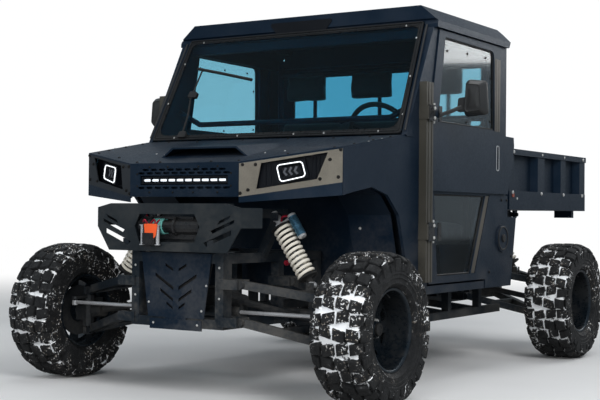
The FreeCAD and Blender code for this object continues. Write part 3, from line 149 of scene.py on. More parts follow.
def lathe(profile, origin, axis, segments=32, closed=False):
    """Surface of revolution: each (distance, radius) of the profile is swept once round the axis.

    A closed profile is joined from its last point to its first."""
    profile = np.asarray(profile, float)
    if closed:
        profile = np.concatenate([profile, profile[:1]])
    axis = np.asarray(axis, float) / np.linalg.norm(axis)
    first, second = axes_about(axis)
    turn = np.linspace(0, 2 * pi, segments, endpoint=False)
    spoke = np.cos(turn)[:, None] * first + np.sin(turn)[:, None] * second
    points = (np.asarray(origin, float) + profile[:, 0, None, None] * axis
              + profile[:, 1, None, None] * spoke[None])
    return points.reshape(-1, 3), grid_faces(len(profile), segments, wrap_columns=True)


def sweep(path, section, closed=False, normal=None):
    """A section carried along a path: point = path + a * side + b * lift, with side square to the run.

    The lift follows the given normal, or the upright where none is given. Open ends are drawn in to a
    point."""
    path = np.asarray(path, float)
    section = np.asarray(section, float)
    if closed:
        run = np.roll(path, -1, 0) - np.roll(path, 1, 0)
    else:
        run = np.gradient(path, axis=0)
    run /= np.linalg.norm(run, axis=1)[:, None]
    if normal is None:
        normal = (0.0, 0.0, 1.0) if abs(run[:, 2]).mean() < 0.8 else (0.0, 1.0, 0.0)
    normal = np.broadcast_to(np.asarray(normal, float), path.shape)
    side = np.cross(run, normal)
    side /= np.linalg.norm(side, axis=1)[:, None]
    lift = np.cross(side, run)
    points = (path[:, None] + section[None, :, 0, None] * side[:, None]
              + section[None, :, 1, None] * lift[:, None])
    if not closed:
        first = np.broadcast_to(path[:1, None], (1,) + points.shape[1:])
        last = np.broadcast_to(path[-1:, None], (1,) + points.shape[1:])
        points = np.concatenate([first, points, last])
    return points.reshape(-1, 3), grid_faces(len(points), len(section), closed, True)


def circle(radius, sides):
    """Section of a round wire or rope."""
    turn = np.linspace(0, 2 * pi, sides, endpoint=False)
    return np.stack([radius * np.cos(turn), radius * np.sin(turn)], -1)


def strip(width, height, lip=0.0):
    """Section of a flat moulding: a rectangle with its upper corners cut by the lip."""
    w = width / 2.0
    return np.array([(-w, 0), (-w, height - lip), (-w + lip, height), (w - lip, height), (w, height - lip),
                     (w, 0)])


def rectangle(a0, a1, b0, b1):
    """Corners of a rectangle in its own plane."""
    return np.array([(a0, b0), (a1, b0), (a1, b1), (a0, b1)])


def corner_ways(corners):
    """Unit vectors from each corner of a closed outline to the one before it and to the one after it."""
    ways = [np.roll(corners, step, 0) - corners for step in (1, -1)]
    return [way / np.linalg.norm(way, axis=1)[:, None] for way in ways]


def filleted(corners, radius, steps=6):
    """Closed outline with each corner turned by an arc; all corners get the same number of points."""
    corners = np.asarray(corners, float)
    before, after = corner_ways(corners)
    radius = np.broadcast_to(np.asarray(radius, float), len(corners))[:, None]
    half = np.arccos(np.clip((before * after).sum(1), -1, 1))[:, None] / 2
    reach = radius / np.tan(half)
    middle = before + after
    middle /= np.linalg.norm(middle, axis=1)[:, None]
    centre = corners + middle * radius / np.sin(half)
    start = corners + before * reach - centre
    end = corners + after * reach - centre
    share = np.linspace(0, 1, steps)[None, :, None]
    arc = start[:, None] * (1 - share) + end[:, None] * share
    arc *= radius[:, None] / np.maximum(np.linalg.norm(arc, axis=2), 1e-9)[..., None]
    return (centre[:, None] + arc).reshape(-1, 3)


def inset(outline, distance):
    """A convex closed outline drawn in by a distance: each corner moves along its bisector."""
    outline = np.asarray(outline, float)
    before, after = corner_ways(outline)
    turn = np.abs(before[:, 0] * after[:, 1] - before[:, 1] * after[:, 0])
    return outline + (before + after) * (distance / turn)[:, None]


def band(outer, inner, depth):
    """Flat ring between two outlines with the same number of points, as thick as the depth vector."""
    depth = np.asarray(depth, float)
    rings = np.stack([outer, outer + depth, inner + depth, inner])
    return rings.reshape(-1, 3), grid_faces(4, len(outer), True, True)


def plate(outline, depth):
    """Solid sheet from a closed outline, drawn in to its middle on both faces."""
    depth = np.asarray(depth, float)
    outline = np.asarray(outline, float)
    middle = outline.mean(0)
    rings = np.stack([np.broadcast_to(middle, outline.shape), outline, outline + depth,
                      np.broadcast_to(middle + depth, outline.shape)])
    return rings.reshape(-1, 3), grid_faces(4, len(outline), False, True)


def stamped(part, origins, axes):
    """Copies of a part made along +Z, each set at an origin and turned to its own axis."""
    points, faces = part
    frames = [np.stack([*axes_about(a), np.asarray(a, float) / np.linalg.norm(a)]) for a in axes]
    moved = np.einsum("pk,nkj->npj", points, np.array(frames)) + np.asarray(origins, float)[:, None]
    faces = faces[None] + (np.arange(len(origins)) * len(points))[:, None, None]
    return moved.reshape(-1, 3), faces.reshape(-1, 4)


def side_patch(side, x, y0, y1, z0, z1, thick):
    """Upright rectangle of sheet on the vehicle's side, from its inner face at x outwards."""
    return plate(on_side(rectangle(y0, y1, z0, z1), side * x), (side * thick, 0, 0))


seekers = {}


def seek(node, start, direction):
    """Where a line from a point meets a CAD node, with the face's normal there."""
    if node not in seekers:
        seekers[node] = BVHTree.FromObject(nodes[node], bpy.context.evaluated_depsgraph_get())
    start = placed(start)
    spot, normal, _, _ = seekers[node].ray_cast(Vector(start), Vector(direction).normalized())
    if spot is None:
        raise RuntimeError(f"a fitting misses {node} at {tuple(start)}")
    normal = np.array(normal)
    if normal @ np.asarray(direction, float) > 0:
        normal = -normal
    return np.array(spot), normal


def on_front(node, points, y, sink):
    """Where lines that run back from (x, z) pairs meet a node, sunk along its normal, and that normal."""
    met = [seek(node, start, (0, 1, 0)) for start in facing(points, y)]
    return np.array([spot - normal * sink for spot, normal in met]), met[-1][1]


# Materials

ROAD_FILM = (0.30, 0.27, 0.23, 1.0)
groups = {}
finishes = {}


def new_group(name, colours, numbers):
    """Shader node group that takes colours and numbers and puts out a colour, a roughness and a height.

    Gives the tree, its input sockets and its output sockets."""
    tree = groups[name] = bpy.data.node_groups.new(name, "ShaderNodeTree")
    for label in colours:
        tree.interface.new_socket(name=label, in_out="INPUT", socket_type="NodeSocketColor")
    for label, default in numbers.items():
        item = tree.interface.new_socket(name=label, in_out="INPUT", socket_type="NodeSocketFloat")
        item.default_value = default
    for label, kind in (("Color", "NodeSocketColor"), ("Roughness", "NodeSocketFloat"),
                        ("Height", "NodeSocketFloat")):
        tree.interface.new_socket(name=label, in_out="OUTPUT", socket_type=kind)
    return tree, tree.nodes.new("NodeGroupInput").outputs, tree.nodes.new("NodeGroupOutput").inputs


def put_out(tree, out, colour, rough, height):
    """Links a group's results to its output sockets."""
    for label, value in (("Color", colour), ("Roughness", rough), ("Height", height)):
        tree.links.new(value, out[label])


def add_node(tree, kind, settings=None, inputs=None):
    """A node with its settings and its inputs: a socket is linked, a value is set."""
    made = tree.nodes.new(kind)
    for key, value in (settings or {}).items():
        setattr(made, key, value)
    for key, value in (inputs or {}).items():
        if isinstance(value, bpy.types.NodeSocket):
            tree.links.new(value, made.inputs[key])
        else:
            made.inputs[key].default_value = value
    return made


def sum_up(tree, operation, first, *others):
    """The result of a Math node, taken again with each further value."""
    for other in others:
        first = add_node(tree, "ShaderNodeMath", {"operation": operation}, {0: first, 1: other}).outputs[0]
    return first


def total(tree, *values):
    """The values added up."""
    return sum_up(tree, "ADD", *values)


def product(tree, *values):
    """The values multiplied."""
    return sum_up(tree, "MULTIPLY", *values)


def scaled(tree, value, low, high, to_low=0.0, to_high=1.0):
    """A value eased from one range to another, and held at its ends."""
    return add_node(tree, "ShaderNodeMapRange", {"interpolation_type": "SMOOTHSTEP"},
                    {0: value, 1: low, 2: high, 3: to_low, 4: to_high}).outputs[0]


def mixed(tree, factor, a, b):
    """Colour a where the factor is 0 and colour b where it is 1."""
    return add_node(tree, "ShaderNodeMix", {"data_type": "RGBA"}, {0: factor, 6: a, 7: b}).outputs[2]


def shaded(tree, colour, factor):
    """A colour made lighter or darker by a factor."""
    return add_node(tree, "ShaderNodeVectorMath", {"operation": "SCALE"},
                    {0: colour, "Scale": factor}).outputs[0]


def object_point(tree):
    """The place on the piece that a pattern is laid on."""
    return add_node(tree, "ShaderNodeTexCoord").outputs["Object"]


def part_of(tree, vector, index):
    """One of the three numbers of a vector."""
    return add_node(tree, "ShaderNodeSeparateXYZ", None, {0: vector}).outputs[index]


def noise(tree, spot, scale, detail=2.0, **more):
    """Noise at a place, from 0 to 1; more gives its roughness and distortion."""
    return add_node(tree, "ShaderNodeTexNoise", None,
                    {"Vector": spot, "Scale": scale, "Detail": detail, **more}).outputs[0]


def build_dusty_surface():
    """Paint or metal under road film: film lies on upper faces, low down and in clouds."""
    tree, into, out = new_group("dusty_surface", ("Clean", "Film"),
                                {"Amount": 0.2, "Clean Roughness": 0.4, "Grain Scale": 600.0})
    spot = object_point(tree)
    cloud = noise(tree, spot, 3.5, 7.0, Roughness=0.62)
    speck = noise(tree, spot, 60.0, 4.0)
    grain = noise(tree, spot, into["Grain Scale"])
    up = part_of(tree, add_node(tree, "ShaderNodeNewGeometry").outputs["Normal"], 2)
    lies = product(tree, scaled(tree, up, -0.1, 1.0), 0.5)
    place = total(tree, lies, scaled(tree, part_of(tree, spot, 2), 1.1, 0.25), 0.16)
    patch = scaled(tree, total(tree, product(tree, cloud, 0.75), product(tree, speck, 0.25)), 0.40, 0.66)
    lying = product(tree, patch, place, into["Amount"])
    mask = add_node(tree, "ShaderNodeClamp", None, {0: lying}).outputs[0]
    tint = shaded(tree, into["Clean"], scaled(tree, cloud, 0.3, 0.7, 0.86, 1.12))
    rough = total(tree, into["Clean Roughness"], product(tree, mask, 0.4),
                  scaled(tree, speck, 0.3, 0.7, -0.05, 0.05))
    put_out(tree, out, mixed(tree, mask, tint, into["Film"]), rough, grain)


def build_packed_snow():
    """Snow held in hollows: a noise cut by how deep the point lies, from the piece's own attribute."""
    tree, into, out = new_group("packed_snow", ("Base", "Snow", "Grit"), {"Amount": 0.5})
    spot = object_point(tree)
    held = add_node(tree, "ShaderNodeAttribute", {"attribute_name": "hollow"}).outputs["Fac"]
    lump = noise(tree, spot, 27.0, 4.0, Roughness=0.60, Distortion=0.6)
    region = noise(tree, spot, 4.5)
    fine = noise(tree, spot, 105.0, 3.0)
    level = total(tree, product(tree, held, 0.42), product(tree, lump, 0.9), product(tree, fine, 0.12),
                  scaled(tree, region, 0.30, 0.70, -0.10, 0.14))
    edge = sum_up(tree, "SUBTRACT", 1.18, product(tree, into["Amount"], 0.5))
    mask = add_node(tree, "ShaderNodeMapRange", None,
                    {0: level, 1: edge, 2: total(tree, edge, 0.06)}).outputs[0]
    base = shaded(tree, into["Base"], scaled(tree, lump, 0.3, 0.75, 0.75, 1.5))
    crumbs = product(tree, scaled(tree, fine, 0.58, 0.63), scaled(tree, region, 0.42, 0.58),
                     scaled(tree, lump, 0.40, 0.55, 0.0, 0.85))
    shade = mixed(tree, scaled(tree, lump, 0.45, 0.60), into["Grit"], into["Snow"])
    put_out(tree, out, mixed(tree, mask, mixed(tree, crumbs, base, shade), into["Snow"]),
            scaled(tree, fine, 0.3, 0.7, 0.62, 0.86), total(tree, mask, product(tree, fine, 0.35)))


def build_brushed_lines():
    """Fine lines along X: a noise stretched a hundredfold, for brushed or machined metal."""
    tree, into, out = new_group("brushed_lines", ("Base",), {"Low Roughness": 0.25, "High Roughness": 0.42})
    spot = object_point(tree)
    drawn = add_node(tree, "ShaderNodeMapping", None,
                     {"Vector": spot, "Scale": (6.0, 500.0, 500.0)}).outputs[0]
    line = noise(tree, drawn, 1.0, 3.0)
    cloud = noise(tree, spot, 9.0, 5.0)
    shade = total(tree, scaled(tree, line, 0.3, 0.7, 0.86, 1.06), scaled(tree, cloud, 0.3, 0.7, -0.1, 0.1))
    rough = add_node(tree, "ShaderNodeMapRange", None,
                     {0: line, 1: 0.3, 2: 0.7, 3: into["Low Roughness"],
                      4: into["High Roughness"]}).outputs[0]
    put_out(tree, out, shaded(tree, into["Base"], shade), rough, line)


def build_woven_cover():
    """Seat cover: two crossed waves for the weave, with a soft change of shade."""
    tree, into, out = new_group("woven_cover", ("Base", "Thread"), {"Scale": 260.0})
    spot = object_point(tree)
    waves = [add_node(tree, "ShaderNodeTexWave", {"bands_direction": direction},
                      {"Vector": spot, "Scale": into["Scale"], "Distortion": 0.4, "Detail": 1.0}).outputs[1]
             for direction in ("X", "Z")]
    weave = product(tree, *waves)
    cloud = noise(tree, spot, 12.0, 5.0)
    level = total(tree, product(tree, weave, 0.6), product(tree, cloud, 0.5))
    put_out(tree, out, mixed(tree, level, into["Base"], into["Thread"]),
            scaled(tree, cloud, 0.3, 0.7, 0.62, 0.82), weave)


def principled(name, colour, rough, **more):
    """A material with one Principled shader and its plain values set. Gives the shader."""
    finishes[name] = material = bpy.data.materials.new(name)
    material.use_nodes = True
    shader = material.node_tree.nodes["Principled BSDF"]
    for key, value in {"Base_Color": (*colour, 1.0), "Roughness": rough, **more}.items():
        shader.inputs[key.replace("_", " ")].default_value = value
    return shader


def surfaced(name, group, values, bump, depth, **more):
    """A material whose colour, roughness and bump come from a shared group."""
    shader = principled(name, (0.1, 0.1, 0.1), 0.5, **more)
    tree = finishes[name].node_tree
    made = add_node(tree, "ShaderNodeGroup", {"node_tree": groups[group]}, values).outputs
    relief = add_node(tree, "ShaderNodeBump", None,
                      {"Strength": bump, "Distance": depth, "Height": made["Height"]})
    for key, value in (("Base Color", made["Color"]), ("Roughness", made["Roughness"]),
                       ("Normal", relief.outputs[0])):
        tree.links.new(value, shader.inputs[key])


def rgba(settings, colour):
    """A colour with its alpha; a word stands for the setting of that name."""
    return (*(getattr(settings, colour) if isinstance(colour, str) else colour), 1.0)


# Settings that a user would change

class PaintSettings(bpy.types.PropertyGroup):
    body: FloatVectorProperty(name="Body paint", description="Colour of the textured body paint",
                              subtype="COLOR", default=(0.0045, 0.0115, 0.0235), min=0.0, max=1.0)
    frame: FloatVectorProperty(name="Frame paint", description="Colour of the chassis and arms",
                               subtype="COLOR", default=(0.0090, 0.0135, 0.0190), min=0.0, max=1.0)
    # Only the lamp plate on the vehicle's left side takes this colour; the right one is painted dark as shade
    bezel: FloatVectorProperty(name="Lamp plate", description="Colour of the lamp plates' metal",
                               subtype="COLOR", default=(0.235, 0.215, 0.178), min=0.0, max=1.0)
    spring: FloatVectorProperty(name="Spring paint", description="Colour of the coil springs",
                                subtype="COLOR", default=(0.86, 0.82, 0.72), min=0.0, max=1.0)
    film: FloatProperty(name="Road film", description="How much road dust lies on the paint", default=0.16,
                        min=0.0, max=1.0, subtype="FACTOR")


class TyreSettings(bpy.types.PropertyGroup):
    pitches: IntProperty(name="Lug pitches", description="Lugs of each row round the tyre", default=16,
                         min=8, max=40)
    lug_height: FloatProperty(name="Lug height", description="Height of the lugs over the carcass",
                              default=0.020, min=0.005, max=0.03, unit="LENGTH")
    snow: FloatProperty(name="Packed snow", description="How much snow is held between the lugs",
                        default=0.72, min=0.0, max=1.0, subtype="FACTOR")


class SpringSettings(bpy.types.PropertyGroup):
    turns: FloatProperty(name="Turns", description="Turns of each coil spring", default=11.0,
                         min=4.0, max=16.0)
    wire: FloatProperty(name="Wire radius", description="Radius of the spring's wire", default=0.0075,
                        min=0.003, max=0.012, unit="LENGTH")
    radius: FloatProperty(name="Coil radius", description="Radius of the coil's middle line", default=0.039,
                          min=0.02, max=0.08, unit="LENGTH")


class LampSettings(bpy.types.PropertyGroup):
    glow: FloatProperty(name="Lamp glow", description="Strength of the lit rings and cells", default=1.1,
                        min=0.0, max=5.0)


# Finishes

CAD_FINISHES = {
    "body_paint": ("hood", "front_fenders", "roof_panel", "rear_wall", "quarter_panels", "door_left",
                   "door_right", "bed", "tailgate", "skid_plate", "front_fascia", "floor_pan", "cab_frame"),
    "bumper_paint": ("front_bumper",),
    "frame_paint": ("lower_frame", "suspension_arms", "lift_barrel"),
    "post_metal": ("hinge_posts",),
    "rim_paint": ("rim_front_left", "rim_front_right", "rim_rear_left", "rim_rear_right"),
    "forged_steel": ("knuckle_left", "knuckle_right", "rear_hub_carriers", "axle_drives"),
    "bare_steel": ("tie_rods", "lift_rod"),
    "bezel_metal": ("lamp_plates",),
    "lamp_black": ("front_lamps",),
    "screen_glass": ("cab_glass",),
    "door_glass": ("door_glass_left", "door_glass_right"),
    "moulded_black": ("dashboard",),
    "mirror_black": ("mirror_left", "mirror_right"),
    "cast_grey": ("engine_block",),
    "winch_black": ("winch",),
}

FILMED = (
    # name, clean colour, roughness, share of the film setting, grain scale, bump, bump depth, other sockets
    ("body_paint", "body", 0.42, 0.8, 900.0, 0.5, 0.0007,
     {"Specular_IOR_Level": 0.34, "Specular_Tint": (0.55, 0.76, 1.0, 1.0)}),
    ("frame_paint", "frame", 0.40, 1.3, 500.0, 0.3, 0.0005,
     {"Specular_IOR_Level": 0.36, "Specular_Tint": (0.70, 0.85, 1.0, 1.0)}),
    ("bumper_paint", (0.0120, 0.0170, 0.0215), 0.44, 1.0, 900.0, 0.5, 0.0007, {"Specular_IOR_Level": 0.4}),
    ("post_metal", (0.070, 0.066, 0.055), 0.40, 1.0, 400.0, 0.2, 0.0004, {"Metallic": 0.35}),
    ("rim_paint", (0.0045, 0.0075, 0.0110), 0.30, 0.35, 400.0, 0.2, 0.0004,
     {"Specular_Tint": (0.60, 0.80, 1.0, 1.0)}),
    ("forged_steel", (0.045, 0.050, 0.056), 0.42, 1.3, 220.0, 0.4, 0.0007, {"Metallic": 0.6}),
    ("moulded_black", (0.0130, 0.0135, 0.0145), 0.48, 0.5, 1100.0, 0.45, 0.0005, {}),
    ("mirror_black", (0.028, 0.029, 0.030), 0.38, 0.2, 900.0, 0.3, 0.0004, {}),
    ("screen_black", (0.0040, 0.0045, 0.0050), 0.30, 0.25, 200.0, 0.05, 0.0002, {}),
    ("bronze_strip", (0.120, 0.108, 0.090), 0.40, 1.0, 400.0, 0.2, 0.0003, {"Metallic": 0.4}),
    ("rubber_black", (0.0095, 0.0105, 0.0120), 0.62, 0.4, 500.0, 0.2, 0.0004, {}),
    ("cast_grey", (0.075, 0.078, 0.082), 0.52, 2.0, 160.0, 0.6, 0.0012, {"Metallic": 0.5}),
    ("winch_black", (0.0110, 0.0120, 0.0140), 0.30, 0.6, 400.0, 0.2, 0.0004, {}),
    ("lamp_black", (0.0045, 0.0055, 0.0080), 0.34, 0.125, 200.0, 0.05, 0.0002, {"Specular_IOR_Level": 0.3}),
    ("spring_cream", "spring", 0.36, 1.1, 300.0, 0.15, 0.0003, {}),
    ("strap_orange", (0.92, 0.115, 0.022), 0.55, 0.3125, 600.0, 0.4, 0.0006, {}),
    ("rope_teal", (0.15, 0.46, 0.42), 0.6, 0.3125, 700.0, 0.6, 0.0008, {}),
    ("fitting_red", (0.42, 0.020, 0.045), 0.28, 0.25, 300.0, 0.1, 0.0003, {"Metallic": 0.7}),
    ("reflector_amber", (0.30, 0.075, 0.045), 0.22, 0.3125, 300.0, 0.1, 0.0003, {}),
    ("lens_red", (0.30, 0.012, 0.012), 0.14, 0.1875, 300.0, 0.1, 0.0003, {"Coat_Weight": 0.5}),
)

BRUSHED = (
    # name, colour, lowest roughness, highest roughness, metal
    ("bezel_metal", "bezel", 0.34, 0.50, 0.45),
    ("bare_steel", (0.74, 0.75, 0.77), 0.24, 0.42, 0.65),
    ("zinc_bolt", (0.78, 0.78, 0.76), 0.26, 0.42, 0.60),
    ("anodised_blue", (0.10, 0.24, 0.36), 0.22, 0.36, 0.80),
    ("dark_bolt", (0.055, 0.052, 0.050), 0.34, 0.48, 0.90),
)


class FinishOperator(bpy.types.Operator):
    """Builds the shared groups and the finishes, and gives each CAD piece its finish"""
    bl_idname = "utv.finishes"
    bl_label = "Finishes"

    def execute(self, context):
        paint = context.scene.utv_paint
        for build in (build_dusty_surface, build_packed_snow, build_brushed_lines, build_woven_cover):
            build()
        for name, clean, rough, share, grain, bump, depth, sockets in FILMED:
            surfaced(name, "dusty_surface",
                     {"Clean": rgba(paint, clean), "Film": ROAD_FILM, "Amount": paint.film * share,
                      "Clean Roughness": rough, "Grain Scale": grain}, bump, depth, **sockets)
        for name, colour, low, high, metal in BRUSHED:
            surfaced(name, "brushed_lines",
                     {"Base": rgba(paint, colour), "Low Roughness": low, "High Roughness": high},
                     0.15, 0.0003, Metallic=metal)
        surfaced("tyre_rubber", "packed_snow",
                 {"Base": (0.0125, 0.0128, 0.0135, 1.0), "Snow": (0.93, 0.95, 0.97, 1.0),
                  "Grit": (0.40, 0.33, 0.25, 1.0), "Amount": context.scene.utv_tyres.snow}, 0.8, 0.004)
        surfaced("seat_cover", "woven_cover",
                 {"Base": (0.010, 0.010, 0.011, 1.0), "Thread": (0.026, 0.027, 0.030, 1.0)}, 0.4, 0.0006,
                 Sheen_Weight=0.3)
        # Painted shade: the lamp plate on the vehicle's right side is drawn dark grey and the one on its left
        # side in the lamp-plate colour, a shaded and a lit copy of one metal, split by the object's X
        tree = finishes["bezel_metal"].node_tree
        left = sum_up(tree, "GREATER_THAN", part_of(tree, object_point(tree), 0), 0.0)
        shade = mixed(tree, left, (0.030, 0.034, 0.040, 1.0), rgba(paint, "bezel"))
        inner = next(item for item in tree.nodes if item.bl_idname == "ShaderNodeGroup")
        tree.links.new(shade, inner.inputs["Base"])
        principled("screen_glass", (0.22, 0.53, 0.66), 0.02, Transmission_Weight=1.0, IOR=1.25)
        principled("door_glass", (0.80, 0.88, 0.90), 0.05, Transmission_Weight=1.0, IOR=1.45)
        principled("mirror_silver", (0.85, 0.87, 0.88), 0.03, Metallic=1.0)
        principled("reflector_chrome", (0.090, 0.095, 0.110), 0.50, Metallic=0.2)
        glow = context.scene.utv_lamps.glow
        principled("lamp_white", (0.9, 0.93, 0.95), 0.3, Emission_Color=(0.92, 0.96, 1.0, 1.0),
                   Emission_Strength=glow)
        principled("cell_white", (0.75, 0.78, 0.8), 0.15, Emission_Color=(0.85, 0.92, 1.0, 1.0),
                   Emission_Strength=glow * 0.75, Metallic=0.4)
        for finish, names in CAD_FINISHES.items():
            for name in names:
                nodes[name].data.materials.clear()
                nodes[name].data.materials.append(finishes[finish])
        return {"FINISHED"}


# Tyres

TYRE_HALF_WIDTH = 0.1305
TYRE_STEPS = 132


def tyre_line():
    """Half of the carcass from the middle of the tread round to the side wall, as (across, radius)."""
    line = np.array([(0, .3230), (.03, .3229), (.06, .3222), (.085, .3200), (.102, .3150), (.114, .3050),
                     (.122, .2920), (.1265, .2760), (.1280, .2600)])
    step = np.concatenate([[0], np.cumsum(np.hypot(*np.diff(line, axis=0).T))])
    return line, step / step[-1]


def on_carcass(t, turn, lift):
    """Point of the tread at a share t of the half line and a turn of the wheel, lifted along the normal."""
    line, share = tyre_line()
    t = np.clip(t, 0, 1)
    w = np.interp(t, share, line[:, 0])
    r = np.interp(t, share, line[:, 1])
    slope = np.gradient(line, share, axis=0)
    nw = -np.interp(t, share, slope[:, 1])
    nr = np.interp(t, share, slope[:, 0])
    size = np.hypot(nw, nr)
    w = np.minimum(w + lift * nw / size, TYRE_HALF_WIDTH)
    r = np.minimum(r + lift * nr / size, TYRE_RADIUS - 0.0003)
    return np.stack([w, r * np.cos(turn), r * np.sin(turn)], -1)


# Blocks of one pitch on one side: across from and to, turn from and to in parts of a pitch, slant, height at
# the inner and the outer end. The first three are the bar lug, split by sipes; the others fill the gap.
LUGS = (
    (0.00, 0.33, -0.21, 0.15, 0.30, 1.00, 1.00),
    (0.39, 0.66, -0.19, 0.20, 0.20, 1.00, 0.98),
    (0.71, 1.00, -0.20, 0.21, 0.00, 0.95, 0.32),
    (0.09, 0.39, 0.29, 0.66, -0.32, 0.92, 0.92),
    (0.46, 0.75, 0.33, 0.68, -0.22, 0.90, 0.80),
    (0.83, 0.99, 0.37, 0.62, 0.00, 0.56, 0.24),
)


def lug_row(lug, pitches, height, side):
    """One row of blocks: each is a patch of the tread lifted along the normal, with a chamfered edge and
    walls that spread towards its foot. Gives points, quads and how deep each point lies in the tread."""
    t0, t1, a0, a1, slant, h0, h1 = lug
    across, along = 4, 4
    rim = [(i, 0) for i in range(across)] + [(across - 1, j) for j in range(1, along)]
    rim += [(i, along - 1) for i in range(across - 2, -1, -1)] + [(0, j) for j in range(along - 2, 0, -1)]
    rim = tuple(np.array(rim).T)
    u, v = np.meshgrid(np.linspace(0, 1, across), np.linspace(0, 1, along), indexing="ij")
    u, v = np.concatenate([u.ravel(), u[rim], u[rim]]), np.concatenate([v.ravel(), v[rim], v[rim]])
    top, edge = across * along, len(rim[0])
    spread = np.concatenate([np.full(top, -0.06), np.zeros(edge), np.full(edge, 0.09)])
    rise = np.concatenate([np.full(top, 1.0), np.full(edge, 0.86), np.full(edge, -0.15)])
    u = 0.5 + (u - 0.5) * (1 + 2 * spread)
    v = 0.5 + (v - 0.5) * (1 + 2 * spread)
    t = t0 + (t1 - t0) * u
    number = np.arange(pitches)[:, None]
    wobble = 0.03 * np.sin(number * 2.4 + t0 * 9)
    place = a0 + (a1 - a0) * v + slant * (t - t0) + (0.0 if side > 0 else 0.5) + wobble
    angle = (number + place) * 2 * pi / pitches
    lift = np.broadcast_to(height * (h0 + (h1 - h0) * u) * rise, angle.shape)
    points = on_carcass(np.broadcast_to(t, angle.shape), angle, lift)
    points[..., 0] *= side
    lip = np.arange(across * along).reshape(across, along)[rim]
    mid = top + np.arange(edge)
    faces = [grid_faces(across, along)]
    for a, b in ((lip, mid), (mid, mid + edge)):
        faces.append(np.stack([a, np.roll(a, -1), np.roll(b, -1), b], -1))
    faces = np.concatenate(faces)
    faces = faces[None] + (number * (top + 2 * edge))[..., None]
    deep = np.concatenate([np.full(top, 0.04), np.full(edge, 0.26), np.full(edge, 0.9)])
    return points.reshape(-1, 3), faces.reshape(-1, 4), np.tile(deep, pitches)


def tyre_part(pitches, lug_height):
    """Carcass turned from its side-wall line about the X axis, with the rows of blocks on both sides."""
    side_line = np.array([(.1283, .2600), (.1290, .2480), (.1262, .2460), (.1268, .2300), (.1242, .2280),
                          (.1215, .2100), (.1228, .2070), (.1212, .2040), (.1160, .1990), (.1075, .1900),
                          (.1000, .1862)])
    half = np.concatenate([tyre_line()[0], side_line])
    whole = np.concatenate([half[::-1] * (-1, 1), half[1:], [(.0950, .1862), (-.0950, .1862)]])
    turn = np.linspace(0, 2 * pi, TYRE_STEPS, endpoint=False)
    across, radius = whole[:, 0, None], whole[:, 1, None]
    ring = np.stack([across + 0 * turn, radius * np.cos(turn), radius * np.sin(turn)], -1)
    parts = [(ring, grid_faces(len(whole), TYRE_STEPS, True, True))]
    hollow = [np.repeat(np.clip((whole[:, 1] - 0.288) / 0.020, 0, 1), TYRE_STEPS)]
    for side in (1, -1):
        for lug in LUGS:
            points, faces, deep = lug_row(lug, pitches, lug_height, side)
            parts.append((points, faces))
            hollow.append(deep)
    return joined(parts), np.concatenate(hollow)


WHEELS = (
    # name, across, along
    ("front_left", HALF_TRACK, 0.0),
    ("front_right", -HALF_TRACK, 0.0),
    ("rear_left", HALF_TRACK, WHEELBASE),
    ("rear_right", -HALF_TRACK, WHEELBASE),
)


class TyreOperator(bpy.types.Operator):
    """Makes the four mud tyres with their lugs and the snow held between them"""
    bl_idname = "utv.tyres"
    bl_label = "Tyres"

    def execute(self, context):
        settings = context.scene.utv_tyres
        (points, faces), hollow = tyre_part(settings.pitches, settings.lug_height)
        for name, x, y in WHEELS:
            turned = placed(points * (np.sign(x), 1, 1) + (x, y, TYRE_RADIUS))
            obj = make_object("tread_" + name, "tyre_rubber", [(turned, faces)], "wheel_" + name,
                              ("tyre_" + name,), weld=False, angle=32.0)
            layer = obj.data.attributes.new("hollow", "FLOAT", "POINT")
            layer.data.foreach_set("value", hollow.astype(np.float32))
        return {"FINISHED"}


# Rims, in metres outwards from the wheel's own middle
DISC = -0.014
BARREL = [(-.104, .1765), (-.104, .1845), (-.1028, .1857), (.1028, .1857), (.104, .1845), (.104, .1765),
          (.1015, .1735), (.090, .1702), (.080, .1700), (DISC + .014, .1700), (DISC, .1655),
          (DISC - .009, .1655), (DISC - .022, .1700), (-.090, .1702), (-.1015, .1735)]
HUB = [(DISC - .034, .0255), (DISC - .034, .0615), (DISC + .003, .0615), (DISC + .006, .0585),
       (DISC + .006, .0375), (DISC + .040, .0365), (DISC + .044, .0330), (DISC + .044, .0255)]
NUT_CIRCLE = 0.048
BRAKE_DISC = [(DISC - .034, .058), (DISC - .034, .1275), (DISC - .028, .1275), (DISC - .028, .058)]


def pierced(front, back, solid):
    """Sheet between two grids of points that close on themselves across: cells that aren't solid are left
    open, with a wall wherever a solid cell ends."""
    rows, columns = front.shape[:2]
    index = np.arange(rows * columns).reshape(rows, columns)
    right = np.roll(index, -1, 1)
    low = index[:-1], right[:-1], right[1:], index[1:]
    faces = [np.stack(low, -1)[solid], np.stack(low[::-1], -1)[solid] + rows * columns]
    edge = np.zeros((1, columns), bool)
    across = np.concatenate([edge, solid]) != np.concatenate([solid, edge])
    along = solid != np.roll(solid, 1, 1)
    for mask, a, b in ((across, index, right), (along, index[:-1], index[1:])):
        a, b = a[mask], b[mask]
        faces.append(np.stack([a, b, b + rows * columns, a + rows * columns], -1))
    return np.concatenate([front.reshape(-1, 3), back.reshape(-1, 3)]), np.concatenate(faces)


